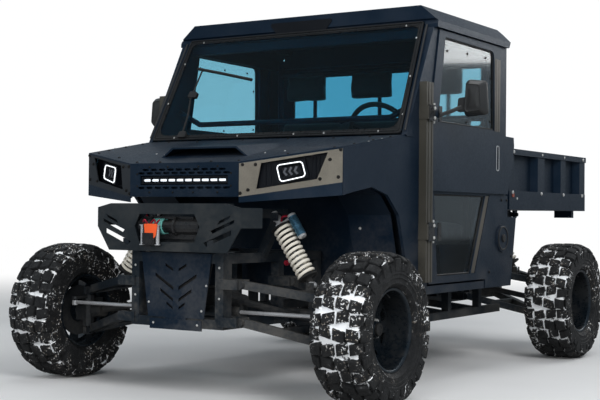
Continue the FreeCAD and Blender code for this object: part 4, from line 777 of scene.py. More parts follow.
def rim_disc():
    """Dished disc about the X axis with eight windows, each wider outwards, whose edges are turned in."""
    radii = np.array([.056, .085, .108, .112, .118, .148, .154, .158, .166])
    inside = np.clip((radii - .112) / .042, 0, 1)
    opening = radians(9.0) + radians(4.0) * inside
    opening[[3, 6]] -= radians(2.2)
    shares = np.array([-1.0, -0.6, -0.2, 0.2, 0.6])
    start = opening[:, None]
    solid_part = pi / 4 - 2 * start
    columns = [shares[None] * start, start + solid_part * np.array([0, 0.33, 0.67])[None]]
    sector = np.concatenate(columns, 1)
    turn = (sector[:, None] + (np.arange(8)[None, :, None] + 0.5) * pi / 4).reshape(len(radii), -1)
    bulge = 0.0012 * np.sin(np.clip((radii - .056) / .11, 0, 1) * pi)[:, None] * np.ones_like(turn)
    front = np.stack([DISC - 0.0005 + bulge * 0.4, radii[:, None] * np.sin(turn),
                      radii[:, None] * np.cos(turn)], -1)
    back = front - (0.0085, 0, 0)
    solid = np.ones((len(radii) - 1, turn.shape[1]), bool)
    cells = np.arange(turn.shape[1]) % 8 < 5
    solid[3:6, cells] = False
    return pierced(front, back, solid)


class WheelOperator(bpy.types.Operator):
    """Makes the deep-dish rims with windows, hubs, brake discs, lug nuts, caps and valves"""
    bl_idname = "utv.wheels"
    bl_label = "Wheels"

    def execute(self, context):
        nut = lathe([(0, 0.0), (0, .0115), (.012, .0112), (.018, .0085), (.022, .0065), (.022, 0.0)],
                    (0, 0, 0), (0, 0, 1), 6)
        cap = [(-.002, 0), (-.002, .0300), (.006, .0300), (.011, .027), (.012, .018), (.009, .016), (.009, 0)]
        disc_points, disc_faces = rim_disc()
        turn = np.arange(4) * pi / 2 + pi / 4
        for name, x, y in WHEELS:
            side = np.sign(x)
            body = "wheel_" + name
            middle = placed((x, y, TYRE_RADIUS))
            way = (side, 0, 0)
            parts = [lathe(BARREL, middle, way, 72, True), lathe(HUB, middle, way, 32, True),
                     (disc_points * (side, 1, 1) + middle, disc_faces)]
            make_object("rim_shell_" + name, "rim_paint", parts, body, ("rim_" + name,))
            make_object("brake_disc_" + name, "forged_steel",
                        [lathe(BRAKE_DISC, middle, way, 48, True)], body)
            spots = middle + np.stack([np.full(4, side * (DISC + .0062)), NUT_CIRCLE * np.cos(turn),
                                       NUT_CIRCLE * np.sin(turn)], -1)
            make_object("nuts_" + name, "zinc_bolt", [stamped(nut, spots, [way] * 4)], body,
                        angle=30.0)
            make_object("cap_" + name, "moulded_black",
                        [lathe(cap, middle + (side * (DISC + .044), 0, 0), way, 32)], body)
            valve = lathe([(0, 0), (0, .005), (.022, .004), (.034, .0034), (.036, 0)],
                          middle + (side * 0.060, 0.0, 0.163), (side * 0.8, 0, -0.6), 8)
            make_object("valve_" + name, "rubber_black", [valve], body)
        return {"FINISHED"}


# Springs and dampers

STRUT_TOP = np.array((0.362, 0.030, 0.826))
STRUT_FOOT = np.array((0.560, 0.030, 0.5215))
STRUT_LENGTH = np.linalg.norm(STRUT_FOOT - STRUT_TOP)
STRUT_WAY = (STRUT_FOOT - STRUT_TOP) / STRUT_LENGTH
STRUT_OUT = np.array((-STRUT_WAY[2], 0.0, STRUT_WAY[0]))


def on_strut(along, aside=0.0, across=0.0):
    """A point of the left front strut: along it from the top eye, aside to its reservoir, across in y."""
    return STRUT_TOP + STRUT_WAY * along + STRUT_OUT * aside + np.array((0.0, across, 0.0))


def coil(turns, wire, radius):
    """Coil spring: a round wire carried round a helix whose end coils lie flat on the seats."""
    start, end = 0.054 + wire, STRUT_LENGTH - 0.048 - wire
    turn = np.linspace(0, turns * 2 * pi, int(turns * 24))
    flat = 0.6 * pi
    share = np.clip((turn - flat) / (turn[-1] - 2 * flat), 0, 1)
    first, second = axes_about(STRUT_WAY)
    spoke = np.cos(turn)[:, None] * first + np.sin(turn)[:, None] * second
    path = on_strut(0.0) + (start + (end - start) * share)[:, None] * STRUT_WAY + radius * spoke
    return sweep(path, circle(wire, 9), normal=spoke)


# Turned pieces of a strut: finish, aside, profile of (along, radius)
STRUT_TURNED = (
    ("bare_steel", 0.0, [(.012, 0), (.012, .0138), (.030, .0138), (.031, .0225), (.033, .0238),
                         (.0455, .0238), (.0455, 0)]),
    ("moulded_black", 0.0, [(.046, 0), (.046, .049), (.0475, .050), (.0525, .050), (.054, .049),
                            (.054, .0345), (.058, .0335), (.058, .0240), (.176, .0240), (.1815, .0220),
                            (.1815, .0090)]),
    ("bare_steel", 0.0, [(.180, 0), (.180, .0088), (STRUT_LENGTH - .040, .0088), (STRUT_LENGTH - .040, 0)]),
    ("moulded_black", 0.0, [(STRUT_LENGTH - .058, 0), (STRUT_LENGTH - .058, .0325),
                            (STRUT_LENGTH - .048, .0345), (STRUT_LENGTH - .048, .049),
                            (STRUT_LENGTH - .0465, .050),
                            (STRUT_LENGTH - .0415, .050), (STRUT_LENGTH - .040, .049),
                            (STRUT_LENGTH - .036, .020), (STRUT_LENGTH - .030, .0145),
                            (STRUT_LENGTH - .013, .0138), (STRUT_LENGTH - .013, 0)]),
    ("anodised_blue", 0.076, [(.040, 0), (.040, .0218), (.044, .0205), (.048, .0205), (.052, .0218),
                              (.098, .0218), (.102, .0205), (.106, .0205), (.110, .0218), (.136, .0218),
                              (.140, .0205), (.140, 0)]),
    ("bare_steel", 0.076, [(.026, 0), (.026, .0150), (.029, .0200), (.0395, .0205), (.0395, 0)]),
    ("bare_steel", 0.076, [(.1405, 0), (.1405, .0205), (.149, .0200), (.154, .0130), (.154, 0)]),
)

STRUT_PIECES = {
    "spring_cream": ("coil_springs", "spring"),
    "moulded_black": ("dampers", "trim"),
    "bare_steel": ("damper_eyes", "knuckle"),
    "anodised_blue": ("reservoirs", "knuckle"),
    "fitting_red": ("reservoir_hoses", "trim"),
}


class StrutOperator(bpy.types.Operator):
    """Makes the coil springs, the dampers and their reservoirs in place of the plain struts"""
    bl_idname = "utv.struts"
    bl_label = "Springs and dampers"

    def execute(self, context):
        settings = context.scene.utv_springs
        made = {"spring_cream": [coil(settings.turns, settings.wire, settings.radius)]}
        for finish, aside, profile in STRUT_TURNED:
            made.setdefault(finish, []).append(lathe(profile, on_strut(0.0, aside), STRUT_WAY, 28))
        eye = [(-.015, .0085), (-.015, .0150), (-.013, .0170), (.013, .0170), (.015, .0150), (.015, .0085)]
        head = [(-.034, 0), (-.034, .012), (-.031, .0165), (.010, .0165), (.010, 0)]
        link = [on_strut(0.037, a) for a in (0.018, 0.030, 0.045, 0.060)]
        made["bare_steel"] += [lathe(eye, STRUT_TOP, (0, 1, 0), 24, True),
                               lathe(eye, STRUT_FOOT, (0, 1, 0), 24, True),
                               lathe(head, on_strut(0.0), STRUT_WAY, 24),
                               sweep(link, circle(0.0062, 10), normal=STRUT_WAY)]
        share = np.linspace(0, 1, 12)[:, None]
        hose = (on_strut(0.034, 0.070) * (1 - share) + on_strut(0.034, 0.012) * share
                + np.sin(share * pi) * (-STRUT_WAY * 0.016 + (0, -0.016, 0)))
        fitting = [(-.016, 0), (-.016, .008), (-.008, .008), (-.008, .013), (.008, .013), (.008, .008),
                   (.016, .008), (.016, 0)]
        made["fitting_red"] = [sweep(hose, circle(.0048, 8), normal=(0, 1, 0)),
                               lathe(fitting, on_strut(0.205, -0.062), (0, 1, 0), 10)]
        for finish, parts in made.items():
            points, faces = joined(parts)
            four = [(placed(points + (0, y, 0)) * (side, 1, 1), faces)
                    for y in (0.0, WHEELBASE) for _, side in SIDES]
            name, slot = STRUT_PIECES[finish]
            replaced = ("shocks",) if finish == "spring_cream" else ()
            make_object(name, finish, four, replaced=replaced)
        return {"FINISHED"}


# Lamps

NOSE_HALF, NOSE_Y, NOSE_LOW, PLATE_RISE = 0.319, -0.217, 0.922, 0.068
CORNER_X, CORNER_Y = 0.753, -0.033
PLATE_RUN = np.hypot(CORNER_X - NOSE_HALF, CORNER_Y - NOSE_Y)
PLATE_IN = np.array((-(CORNER_Y - NOSE_Y), CORNER_X - NOSE_HALF, 0.0)) / PLATE_RUN


def on_lamp(points, depth, side):
    """Points of a lamp plate from (share outwards, height) pairs, set back by a depth."""
    points = np.asarray(points, float)
    s, h = points[:, 0], points[:, 1]
    out = np.stack([NOSE_HALF + (CORNER_X - NOSE_HALF) * s, NOSE_Y + (CORNER_Y - NOSE_Y) * s,
                    NOSE_LOW + PLATE_RISE * s + h], -1) + PLATE_IN * depth
    return placed(out * (side, 1, 1))


RING_CORNERS = ((0.401, 0.0410), (0.646, 0.0510), (0.608, 0.1195), (0.362, 0.1180))
RECESS_CORNERS = ((0.418, 0.0485), (0.634, 0.0580), (0.598, 0.1130), (0.379, 0.1110))
BOWL_CORNERS = ((0.436, 0.0560), (0.616, 0.0640), (0.584, 0.1060), (0.397, 0.1040))
CHEVRONS = (0.440, 0.492, 0.544)
BACK_RIBS = (0.25, 0.30, 0.70, 0.735, 0.77)
BAR_CELLS = 10
CELL_PITCH = 0.049
CELL_HEIGHT = 1.0
TAIL_LAMP_Y = 3.1578


class LampOperator(bpy.types.Operator):
    """Makes the headlamps' rings, bowls and marks, the light bar's cells and the tail lamps' lenses"""
    bl_idname = "utv.lamps"
    bl_label = "Lamps"

    def execute(self, context):
        rings, marks, bowls, backs, tails = [], [], [], [], []
        for _, side in SIDES:
            inward = PLATE_IN * (side, 1, 1)
            path = filleted(on_lamp(RING_CORNERS, 0.0078, side), 0.015, 7)
            rings.append(sweep(path, strip(0.0046, 0.0045, 0.0016), closed=True, normal=-inward))
            wide = filleted(on_lamp(RECESS_CORNERS, 0.0080, side), 0.013, 7)
            deep = filleted(on_lamp(BOWL_CORNERS, 0.0185, side), 0.012, 7)
            wall = inward * 0.0012
            bowl = np.stack([wide, deep, deep + wall, wide + wall])
            bowls.append((bowl, grid_faces(4, len(wide), True, True)))
            for s in CHEVRONS:
                line = on_lamp(((s + 0.020, 0.066), (s - 0.008, 0.083), (s + 0.012, 0.101)), 0.0170, side)
                marks.append(sweep(line, strip(0.011, 0.003, 0.001), normal=-inward))
            backs.append(plate(on_lamp(rectangle(0.05, 0.935, 0.008, 0.143), 0.0375, side), inward * 0.0022))
            for s in BACK_RIBS:
                line = on_lamp(((s, 0.012), (s, 0.140)), 0.0374, side)
                backs.append(sweep(line, strip(0.006, 0.004, 0.001), normal=-inward))
            lens = placed(facing(rectangle(side * 0.546, side * 0.654, 0.845, 0.879), TAIL_LAMP_Y))
            tails.append(plate(filleted(lens, 0.008, 5), (0, 0.004, 0)))
        make_object("headlamp_rings", "lamp_white", rings)
        make_object("headlamp_bowls", "lamp_black", bowls)
        make_object("headlamp_marks", "reflector_chrome", marks)
        make_object("headlamp_backs", "lamp_black", backs)
        corners = rectangle(-.0212, .0212, -.0054, .0054)
        cells = []
        for number in range(BAR_CELLS):
            middle = ((number - (BAR_CELLS - 1) / 2) * CELL_PITCH, CELL_HEIGHT)
            for grow, y0, y1 in ((1.0, 0.0125, 0.0150), (0.6, 0.0095, 0.0127)):
                outline = placed(facing(middle + corners * grow, NOSE_Y + y0))
                cells.append(plate(filleted(outline, 0.0035 * grow, 4), (0, y1 - y0, 0)))
        make_object("bar_cells", "cell_white", cells)
        make_object("tail_lenses", "lens_red", tails, "load_bed")
        return {"FINISHED"}


# Glass borders and rubber seals

SCREEN_BASE = np.array((0.494, 1.234))
SCREEN_TOP = np.array((0.800, 1.826))
SLOPE_LENGTH = np.hypot(*(SCREEN_TOP - SCREEN_BASE))
SLOPE = (SCREEN_TOP - SCREEN_BASE) / SLOPE_LENGTH
SCREEN_OUT = np.array((0.0, -SLOPE[1], SLOPE[0]))


def on_screen(points, off):
    """Points of the windscreen from (across, up the slope) pairs, set off its outer face."""
    points = np.asarray(points, float)
    out = np.stack([points[:, 0], SCREEN_BASE[0] + points[:, 1] * SLOPE[0],
                    SCREEN_BASE[1] + points[:, 1] * SLOPE[1]], -1)
    return placed(out + SCREEN_OUT * (0.006 + off))


UPPER_WINDOW = ((0.824, 1.316), (0.905, 1.753), (1.480, 1.750), (1.503, 1.742), (1.513, 1.718),
                (1.520, 1.316))
LOWER_WINDOW = ((0.785, 0.955), (1.404, 0.955), (1.219, 0.541), (0.827, 0.541))
REAR_WINDOW_Y = 1.7130
REAR_WINDOW = ((-0.640, 1.350), (0.640, 1.350), (0.640, 1.690), (0.600, 1.730), (-0.600, 1.730),
               (-0.640, 1.690))
WINDOW_FACES = ((0.7900, 1.0), (0.7840, -1.0))


class SealOperator(bpy.types.Operator):
    """Makes the windscreen's black border and wiper, and the rubber seals of every window"""
    bl_idname = "utv.seals"
    bl_label = "Seals"

    def execute(self, context):
        top = SLOPE_LENGTH - 0.008
        outer = ((-0.766, 0.002), (0.766, 0.002), (0.736, top), (-0.736, top))
        inner = ((-0.738, 0.034), (0.738, 0.034), (0.712, top - 0.026), (-0.712, top - 0.026))
        edge = filleted(on_screen(outer, 0.0004), 0.012, 7)
        hole = filleted(on_screen(inner, 0.0004), (0.050, 0.050, 0.03, 0.03), 7)
        make_object("screen_border", "screen_black", [band(edge, hole, SCREEN_OUT * 0.0012)])
        seals = []
        for distance, radius, section in ((0.004, 0.012, strip(0.009, 0.007, 0.003)),
                                          (0.017, 0.010, strip(0.007, 0.0045, 0.002))):
            rim = filleted(on_screen(inset(outer, distance), 0.0), radius, 7)
            seals.append(sweep(rim, section, closed=True, normal=SCREEN_OUT))
        arm = on_screen(((-0.562, 0.030), (-0.566, 0.150), (-0.586, 0.250), (-0.584, 0.300), (-0.572, 0.440)),
                        0.013)
        blade = on_screen(((-0.604, 0.453), (-0.412, 0.408), (-0.212, 0.358)), 0.009)
        wiper = [sweep(arm, strip(0.009, 0.005, 0.0015), normal=SCREEN_OUT),
                 sweep(blade, strip(0.013, 0.014, 0.003), normal=SCREEN_OUT)]
        for corners in (((-0.612, 0.268), (-0.552, 0.262), (-0.552, 0.296), (-0.604, 0.306)),
                        ((-0.590, 0.012), (-0.534, 0.012), (-0.540, 0.048), (-0.584, 0.048))):
            wiper.append(plate(filleted(on_screen(corners, 0.0014), 0.006, 4), SCREEN_OUT * 0.018))
        make_object("screen_wiper", "moulded_black", wiper)
        rear = filleted(placed(facing(inset(REAR_WINDOW, 0.006), REAR_WINDOW_Y)), 0.02, 5)
        seals.append(sweep(rear, strip(0.012, 0.008, 0.003), closed=True, normal=(0, 1, 0)))
        make_object("cab_seals", "rubber_black", seals)
        for label, side in SIDES:
            rubber = []
            for outline in (UPPER_WINDOW, LOWER_WINDOW):
                for x, way in WINDOW_FACES:
                    path = filleted(on_side(inset(outline, 0.0045), side * x), 0.007, 5)
                    rubber.append(sweep(path, strip(0.009, 0.006, 0.0025), closed=True,
                                        normal=(side * way, 0, 0)))
            make_object("door_seals_" + label, "rubber_black", rubber, label + "_door")
        return {"FINISHED"}


# Bolts and screws

BOLT_HEAD = [(0, 0), (0, .0072), (.0022, .0072), (.0046, .0052), (.0050, .0030), (.0036, .0026), (.0036, 0)]

BOLTS = (
    # node, body, finish, scale, mirrored, direction, list of starts
    ("hood", "chassis", "dark_bolt", 1.0, True, (0, 0, -1),
     ((0.30, -0.19, 1.4), (0.70, -0.015, 1.4), (0.735, 0.10, 1.4), (0.75, 0.25, 1.4), (0.76, 0.40, 1.4),
      (0.15, -0.20, 1.4), (0.42, 0.44, 1.4), (0.14, 0.46, 1.4), (0.62, 0.45, 1.4), (0.50, -0.09, 1.4))),
    ("hood", "chassis", "zinc_bolt", 0.6, True, (0, 0, -1),
     ((0.300, 0.02, 1.4), (0.385, 0.06, 1.4), (0.765, 0.18, 1.4), (0.768, 0.30, 1.4))),
    ("lamp_plates", "chassis", "dark_bolt", 1.1, True, (0, 1, 0),
     ((0.334, -0.5, 1.067), (0.389, -0.5, 1.068), (0.325, -0.5, 0.938), (0.358, -0.5, 0.953),
      (0.745, -0.5, 1.135), (0.701, -0.5, 1.091), (0.736, -0.5, 1.013), (0.660, -0.5, 1.004))),
    ("front_fascia", "chassis", "dark_bolt", 0.7, True, (0, 1, 0),
     ((0.275, -0.5, 1.030), (0.275, -0.5, 0.972), (0.090, -0.5, 1.062), (0.200, -0.5, 1.062),
      (0.060, -0.5, 0.943), (0.200, -0.5, 0.943))),
    ("skid_plate", "chassis", "zinc_bolt", 0.8, False, (0, 1, 0),
     ((0.176, -0.6, 0.516), (0.150, -0.6, 0.400), (-0.158, -0.6, 0.430), (0.128, -0.6, 0.335),
      (-0.128, -0.6, 0.335))),
    ("lower_frame", "chassis", "zinc_bolt", 0.8, True, (0, 1, 0),
     ((0.245, -0.6, 0.600), (0.245, -0.6, 0.460))),
    ("front_fenders", "chassis", "zinc_bolt", 1.0, True, (0, 1, 0),
     ((0.560, -0.1, 0.780), (0.640, -0.1, 0.620))),
    ("bed", "load_bed", "zinc_bolt", 1.5, True, (-1, 0, 0),
     ((0.90, 1.950, 0.985), (0.90, 2.400, 0.985), (0.90, 2.778, 0.985), (0.90, 3.120, 0.985),
      (0.90, 1.950, 1.222), (0.90, 3.120, 1.222))),
    ("bed", "load_bed", "zinc_bolt", 1.0, True, (-1, 0, 0),
     ((0.90, 2.018, 0.950), (0.90, 2.400, 1.222), (0.90, 2.778, 1.222))),
    ("hinge_posts", "chassis", "zinc_bolt", 1.2, True, (-1, 0, 0),
     ((0.90, 0.698, 1.325), (0.90, 0.698, 1.373), (0.90, 0.698, 0.736), (0.90, 0.698, 0.796))),
    ("quarter_panels", "chassis", "dark_bolt", 1.1, True, (-1, 0, 0),
     ((0.90, 1.640, 0.935), (0.90, 1.712, 0.935), (0.90, 1.480, 0.540), (0.90, 1.780, 0.620))),
    ("rear_wall", "chassis", "dark_bolt", 1.1, True, (0, -1, 0),
     ((0.66, 1.9, 1.310), (0.66, 1.9, 1.745), (0.20, 1.9, 1.310))),
)

# Pale screws of the windscreen, as (across, up the slope)
SCREEN_SCREWS = ((-0.620, 0.018), (-0.200, 0.018), (0.150, 0.018), (0.330, 0.018), (0.640, 0.018),
                 (0.752, 0.110), (0.738, 0.330), (0.716, 0.560), (0.640, 0.640), (-0.640, 0.640),
                 (-0.724, 0.500), (-0.746, 0.240))

# Dark screws round the upper pane of each door, as (along, height)
PANE_SCREWS = ((0.944, 1.687), (1.186, 1.700), (1.417, 1.705), (0.871, 1.561), (0.854, 1.500), (1.487, 1.363),
               (1.487, 1.600), (1.180, 1.338))


class BoltOperator(bpy.types.Operator):
    """Sets the bolt heads on the pieces that they fasten"""
    bl_idname = "utv.bolts"
    bl_label = "Bolts"

    def execute(self, context):
        head = lathe(BOLT_HEAD, (0, 0, 0), (0, 0, 1), 12)
        gathered = {}
        for node, body, finish, size, twin, direction, starts in BOLTS:
            for side in ((1.0, -1.0) if twin else (1.0,)):
                for start in starts:
                    flip = np.array((side, 1, 1))
                    spot, normal = seek(node, np.array(start) * flip, np.array(direction) * flip)
                    gathered.setdefault((body, finish), []).append((spot, normal, size))
        for spot in on_screen(SCREEN_SCREWS, 0.0014):
            gathered[("chassis", "zinc_bolt")].append((spot, SCREEN_OUT, 0.75))
        for label, side in SIDES:
            spots = on_side(PANE_SCREWS, side * 0.790)
            gathered[(label + "_door", "dark_bolt")] = [(spot, np.array((side, 0, 0)), 0.9) for spot in spots]
        for (body, finish), items in gathered.items():
            parts = [stamped((head[0] * size, head[1]), [spot - normal * 0.0002], [normal])
                     for spot, normal, size in items]
            make_object("_".join(("bolts", body, finish)), finish, parts, body, angle=35.0)
        return {"FINISHED"}


# Seats

HEADREST = ((1.527, 1.532), (1.519, 1.60), (1.532, 1.682), (1.578, 1.682), (1.578, 1.532))
SWELL_CAP = 0.010
CLOTH_FRAMES = 12
SEAM_X, SEAM_WIDTH, SEAM_DEPTH = 0.215, 0.012, 0.011

PADS = (
    # name, outline of (y, z), from x, to x, voxel, sewn channels
    ("seat_cushion", ((1.158, 0.698), (1.158, 0.785), (1.196, 0.808), (1.512, 0.794), (1.512, 0.698)),
     -0.628, 0.628, 0.012, True),
    ("seat_back", ((1.527, 0.70), (1.527, 0.806), (1.505, 0.838), (1.566, 1.39), (1.587, 1.410),
                   (1.612, 1.402), (1.605, 0.70)), -0.628, 0.628, 0.012, True),
    ("headrest_left", HEADREST, 0.327, 0.583, 0.008, False),
    ("headrest_middle", HEADREST, -0.118, 0.138, 0.008, False),
    ("headrest_right", HEADREST, -0.568, -0.312, 0.008, False),
)


def get_corners(obj):
    """The places of an object's vertices."""
    out = np.zeros(len(obj.data.vertices) * 3, np.float32)
    obj.data.vertices.foreach_get("co", out)
    return out.reshape(-1, 3).astype(float)


def set_corners(obj, points):
    """Moves an object's vertices."""
    obj.data.vertices.foreach_set("co", points.astype(np.float32).ravel())


def apply_modifiers(obj):
    """Puts the result of the live modifiers into the mesh and clears them."""
    graph = bpy.context.evaluated_depsgraph_get()
    mesh = bpy.data.meshes.new_from_object(obj.evaluated_get(graph))
    obj.modifiers.clear()
    obj.data = mesh


def pad_object(name, outline, x0, x1, voxel):
    """Stuffed pad: its outline carried across, remeshed, blown up as cloth and held to a small movement."""
    outline = np.asarray(outline, float)
    middle = np.broadcast_to(outline.mean(0), outline.shape)
    rings = ((x0, middle), (x0, outline), ((x0 + x1) / 2, outline), (x1, outline), (x1, middle))
    points = np.stack([np.concatenate([np.full((len(outline), 1), x), ring], 1) for x, ring in rings])
    part = (placed(points), grid_faces(len(rings), len(outline), False, True))
    obj = make_object(name, "seat_cover", [part], smooth=False)
    remesh = obj.modifiers.new("remesh", "REMESH")
    remesh.mode, remesh.voxel_size, remesh.use_smooth_shade = "VOXEL", voxel, True
    apply_modifiers(obj)
    rest = get_corners(obj)
    cloth = obj.modifiers.new("stuffing", "CLOTH")
    cloth.settings.use_pressure = True
    cloth.settings.uniform_pressure_force = 4.0
    cloth.settings.quality = 4
    cloth.settings.effector_weights.gravity = 0.0
    cloth.point_cache.frame_start, cloth.point_cache.frame_end = 1, CLOTH_FRAMES
    for number in range(1, CLOTH_FRAMES + 1):
        bpy.context.scene.frame_set(number)
    apply_modifiers(obj)
    moved = get_corners(obj) - rest
    size = np.linalg.norm(moved, axis=1)[:, None]
    set_corners(obj, rest + moved * np.minimum(1.0, SWELL_CAP / np.maximum(size, 1e-9)))
    bpy.context.scene.frame_set(1)
    obj.modifiers.new("soften", "SMOOTH").iterations = 6
    apply_modifiers(obj)
    obj.data.shade_smooth()
    return obj


def sew_channels(obj):
    """Draws a pad in towards its middle line along the seams: the pull falls off as a bell curve."""
    points = get_corners(obj)
    seam = np.abs(np.abs(points[:, 0]) - SEAM_X)
    pull = SEAM_DEPTH * np.exp(-(seam / SEAM_WIDTH) ** 2)
    away = points - points.mean(0)
    away[:, 0] = 0
    away /= np.maximum(np.linalg.norm(away, axis=1), 1e-6)[:, None]
    set_corners(obj, points - away * pull[:, None])


class SeatOperator(bpy.types.Operator):
    """Makes the padded bench with its back and headrests"""
    bl_idname = "utv.seats"
    bl_label = "Seats"

    def execute(self, context):
        for name, outline, x0, x1, voxel, sewn in PADS:
            obj = pad_object(name, outline, x0, x1, voxel)
            if sewn:
                sew_channels(obj)
            if name == "seat_cushion":
                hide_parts("bench_seat")
        return {"FINISHED"}


# Fittings

STEER_CENTRE = np.array((0.430, 0.905, 1.262))
STEER_AXIS = np.array((0.0, cos(radians(27.0)), sin(radians(27.0))))
GRIP_RADIUS, GRIP_CIRCLE = 0.0135, 0.176
SPOKE = ((-.0078, -.003), (-.006, -.0045), (.006, -.0045), (.0078, -.003), (.0078, .003), (.006, .0045),
         (-.006, .0045), (-.0078, .003))


def steering_wheel():
    """Torus grip with a padded hub and three flat spokes, about the column's axis."""
    grip = circle(GRIP_RADIUS, 24)[:, ::-1] + (0.0, GRIP_CIRCLE)
    hub = [(-.020, .0115), (-.020, .029), (-.004, .030), (.004, .028), (.006, .022), (.006, .0115)]
    parts = [lathe(grip, STEER_CENTRE, STEER_AXIS, 72, True), lathe(hub, STEER_CENTRE, STEER_AXIS, 28, True)]
    down = np.cross(STEER_AXIS, (1.0, 0.0, 0.0))
    reach = np.linspace(0.024, 0.168, 6)[:, None]
    for angle in (90.0, 200.0, 340.0):
        way = np.array((1.0, 0.0, 0.0)) * cos(radians(angle)) + down * sin(radians(angle))
        parts.append(sweep(STEER_CENTRE + way * reach, SPOKE, normal=STEER_AXIS))
    points, faces = joined(parts)
    return placed(points), faces


def lofted(rings):
    """Closed loops with equal counts joined in order, both ends closed by a fan to their middle."""
    first, last = [np.broadcast_to(ring.mean(0), ring.shape) for ring in (rings[0], rings[-1])]
    rings = [first, *rings, last]
    return np.stack(rings), grid_faces(len(rings), len(first), False, True)


MIRROR_FRONT = ((0.944, 1.352), (1.046, 1.362), (1.036, 1.496), (0.956, 1.506))
MIRROR_BACK = ((0.928, 1.338), (1.062, 1.346), (1.052, 1.514), (0.940, 1.526))
MIRROR_RINGS = (
    # outline, drawn in by, y, corner radius
    (MIRROR_FRONT, 0.024, 0.8080, 0.008),
    (MIRROR_FRONT, 0.021, 0.8105, 0.009),
    (MIRROR_FRONT, 0.009, 0.8105, 0.014),
    (MIRROR_FRONT, 0.006, 0.8075, 0.016),
    (MIRROR_FRONT, 0.001, 0.8125, 0.019),
    (MIRROR_BACK, 0.004, 0.8420, 0.022),
    (MIRROR_BACK, 0.000, 0.8570, 0.022),
    (MIRROR_BACK, 0.002, 0.8620, 0.021),
)


def mirror_head():
    """Rounded shell between a small front and a wide back outline, with a raised panel, its neck and arm."""
    rings = [filleted(facing(inset(outline, distance), y), radius)
             for outline, distance, y, radius in MIRROR_RINGS]
    neck = facing(((0.905, 1.360), (0.962, 1.366), (0.962, 1.436), (0.912, 1.430)), 0.820)
    arm = ((0.810, 0.748, 1.331), (0.850, 0.772, 1.338), (0.893, 0.806, 1.358), (0.930, 0.832, 1.378))
    return joined([lofted(rings), plate(filleted(neck, 0.010, 5), (0, 0.024, 0)),
                   sweep(arm, strip(0.026, 0.020, 0.006), normal=(0, 0, 1))])


def upright(x, y, z, height, radius):
    """Round post that stands at a point."""
    return lathe([(0, 0), (0, radius), (height, radius), (height, 0)], placed((x, y, z)), (0, 0, 1), 12)


DRUM_Y, DRUM_Z = -0.286, 0.784
FAIRLEAD_X, FAIRLEAD_Y = (-0.127, -0.037), -0.352
ROPE_TURNS = 7


def make_winch_fittings():
    """Rope wound on the drum, fairlead posts, the motor's end bolts, and the hook's strap and cord."""
    turn = np.linspace(0, 2 * pi * ROPE_TURNS, ROPE_TURNS * 22)
    spoke = np.stack([np.zeros_like(turn), np.cos(turn), np.sin(turn)], -1)
    middle = np.stack([np.linspace(-0.101, -0.040, len(turn)), np.full(len(turn), DRUM_Y),
                       np.full(len(turn), DRUM_Z)], -1)
    rope = sweep(placed(middle + 0.0345 * spoke), circle(0.0046, 7), normal=spoke)
    make_object("winch_rope", "rope_teal", [rope])
    steel = [upright(x, FAIRLEAD_Y, 0.700, 0.090, 0.0085) for x in FAIRLEAD_X]
    steel += [upright(x, FAIRLEAD_Y, z, 0.004, 0.014) for x in FAIRLEAD_X for z in (0.698, 0.788)]
    for angle in np.arange(6) * pi / 3 + 0.4:
        spot = placed((0.172, DRUM_Y + 0.028 * cos(angle), DRUM_Z + 0.028 * sin(angle)))
        steel.append(lathe([(0, 0), (0, .0055), (.005, .0055), (.007, .003), (.007, 0)], spot, (1, 0, 0), 8))
    make_object("fairlead_steel", "bare_steel", steel)
    flap = placed(facing(((-0.096, 0.728), (-0.036, 0.728), (-0.026, 0.796), (-0.104, 0.796)), -0.3700))
    strap = plate(filleted(flap, (0.026, 0.026, 0.006, 0.006)), (0, 0.0032, 0))
    make_object("hook_strap", "strap_orange", [strap])
    share = np.linspace(0, 1, 26)
    cord = placed(np.stack([-0.125 + 0.10 * share, -0.348 - 0.008 * np.sin(share * 9),
                            0.804 + 0.010 * np.sin(share * 14)], -1))
    make_object("hook_cord", "fitting_red", [sweep(cord, circle(0.0045, 7), normal=(0, 1, 0))])


HINGES = ((1.310, 1.388), (0.720, 0.812))
HINGE_X = 0.8405
FUEL_CAP = (0.804, 1.646, 0.723)
SPLASH_LOW, SPLASH_HIGH = 0.400, 0.516


def make_door_fittings(label, side):
    """Mirror, pane strips, handle surround and hinge leaves of one door."""
    door = label + "_door"
    points, faces = mirror_head()
    make_object("mirror_head_" + label, "mirror_black", [(placed(points * (side, 1, 1)), faces)], door,
                replaced=("mirror_" + label,))
    mirror = placed(facing(inset(MIRROR_BACK, 0.009) * (side, 1), 0.8622))
    make_object("mirror_glass_" + label, "mirror_silver", [plate(filleted(mirror, 0.012, 5), (0, 0.0015, 0))],
                door)
    slant = inset(((1.413, 0.958), (1.465, 0.958), (1.280, 0.541), (1.228, 0.541)), 0.003)
    strips = [plate(on_side(slant, side * 0.7952), (side * 0.0022, 0, 0))]
    for y, half in ((1.534, .007), (1.559, .012), (1.587, .009)):
        strips.append(side_patch(side, 0.8000, y - half, y + half, 1.312, 1.712, 0.0018))
    make_object("door_strips_" + label, "bronze_strip", strips, door)
    slot = filleted(on_side(rectangle(1.520, 1.552, 1.096, 1.231), side * 0.8145), 0.010)
    surround = sweep(slot, strip(0.0045, 0.0035, 0.0012), closed=True, normal=(side, 0, 0))
    make_object("handle_" + label, "bare_steel", [surround], door)
    leaves = [side_patch(side, HINGE_X, 0.746, 0.780, z0, z1, 0.0045) for z0, z1 in HINGES]
    make_object("hinge_leaf_" + label, "winch_black", leaves, door)


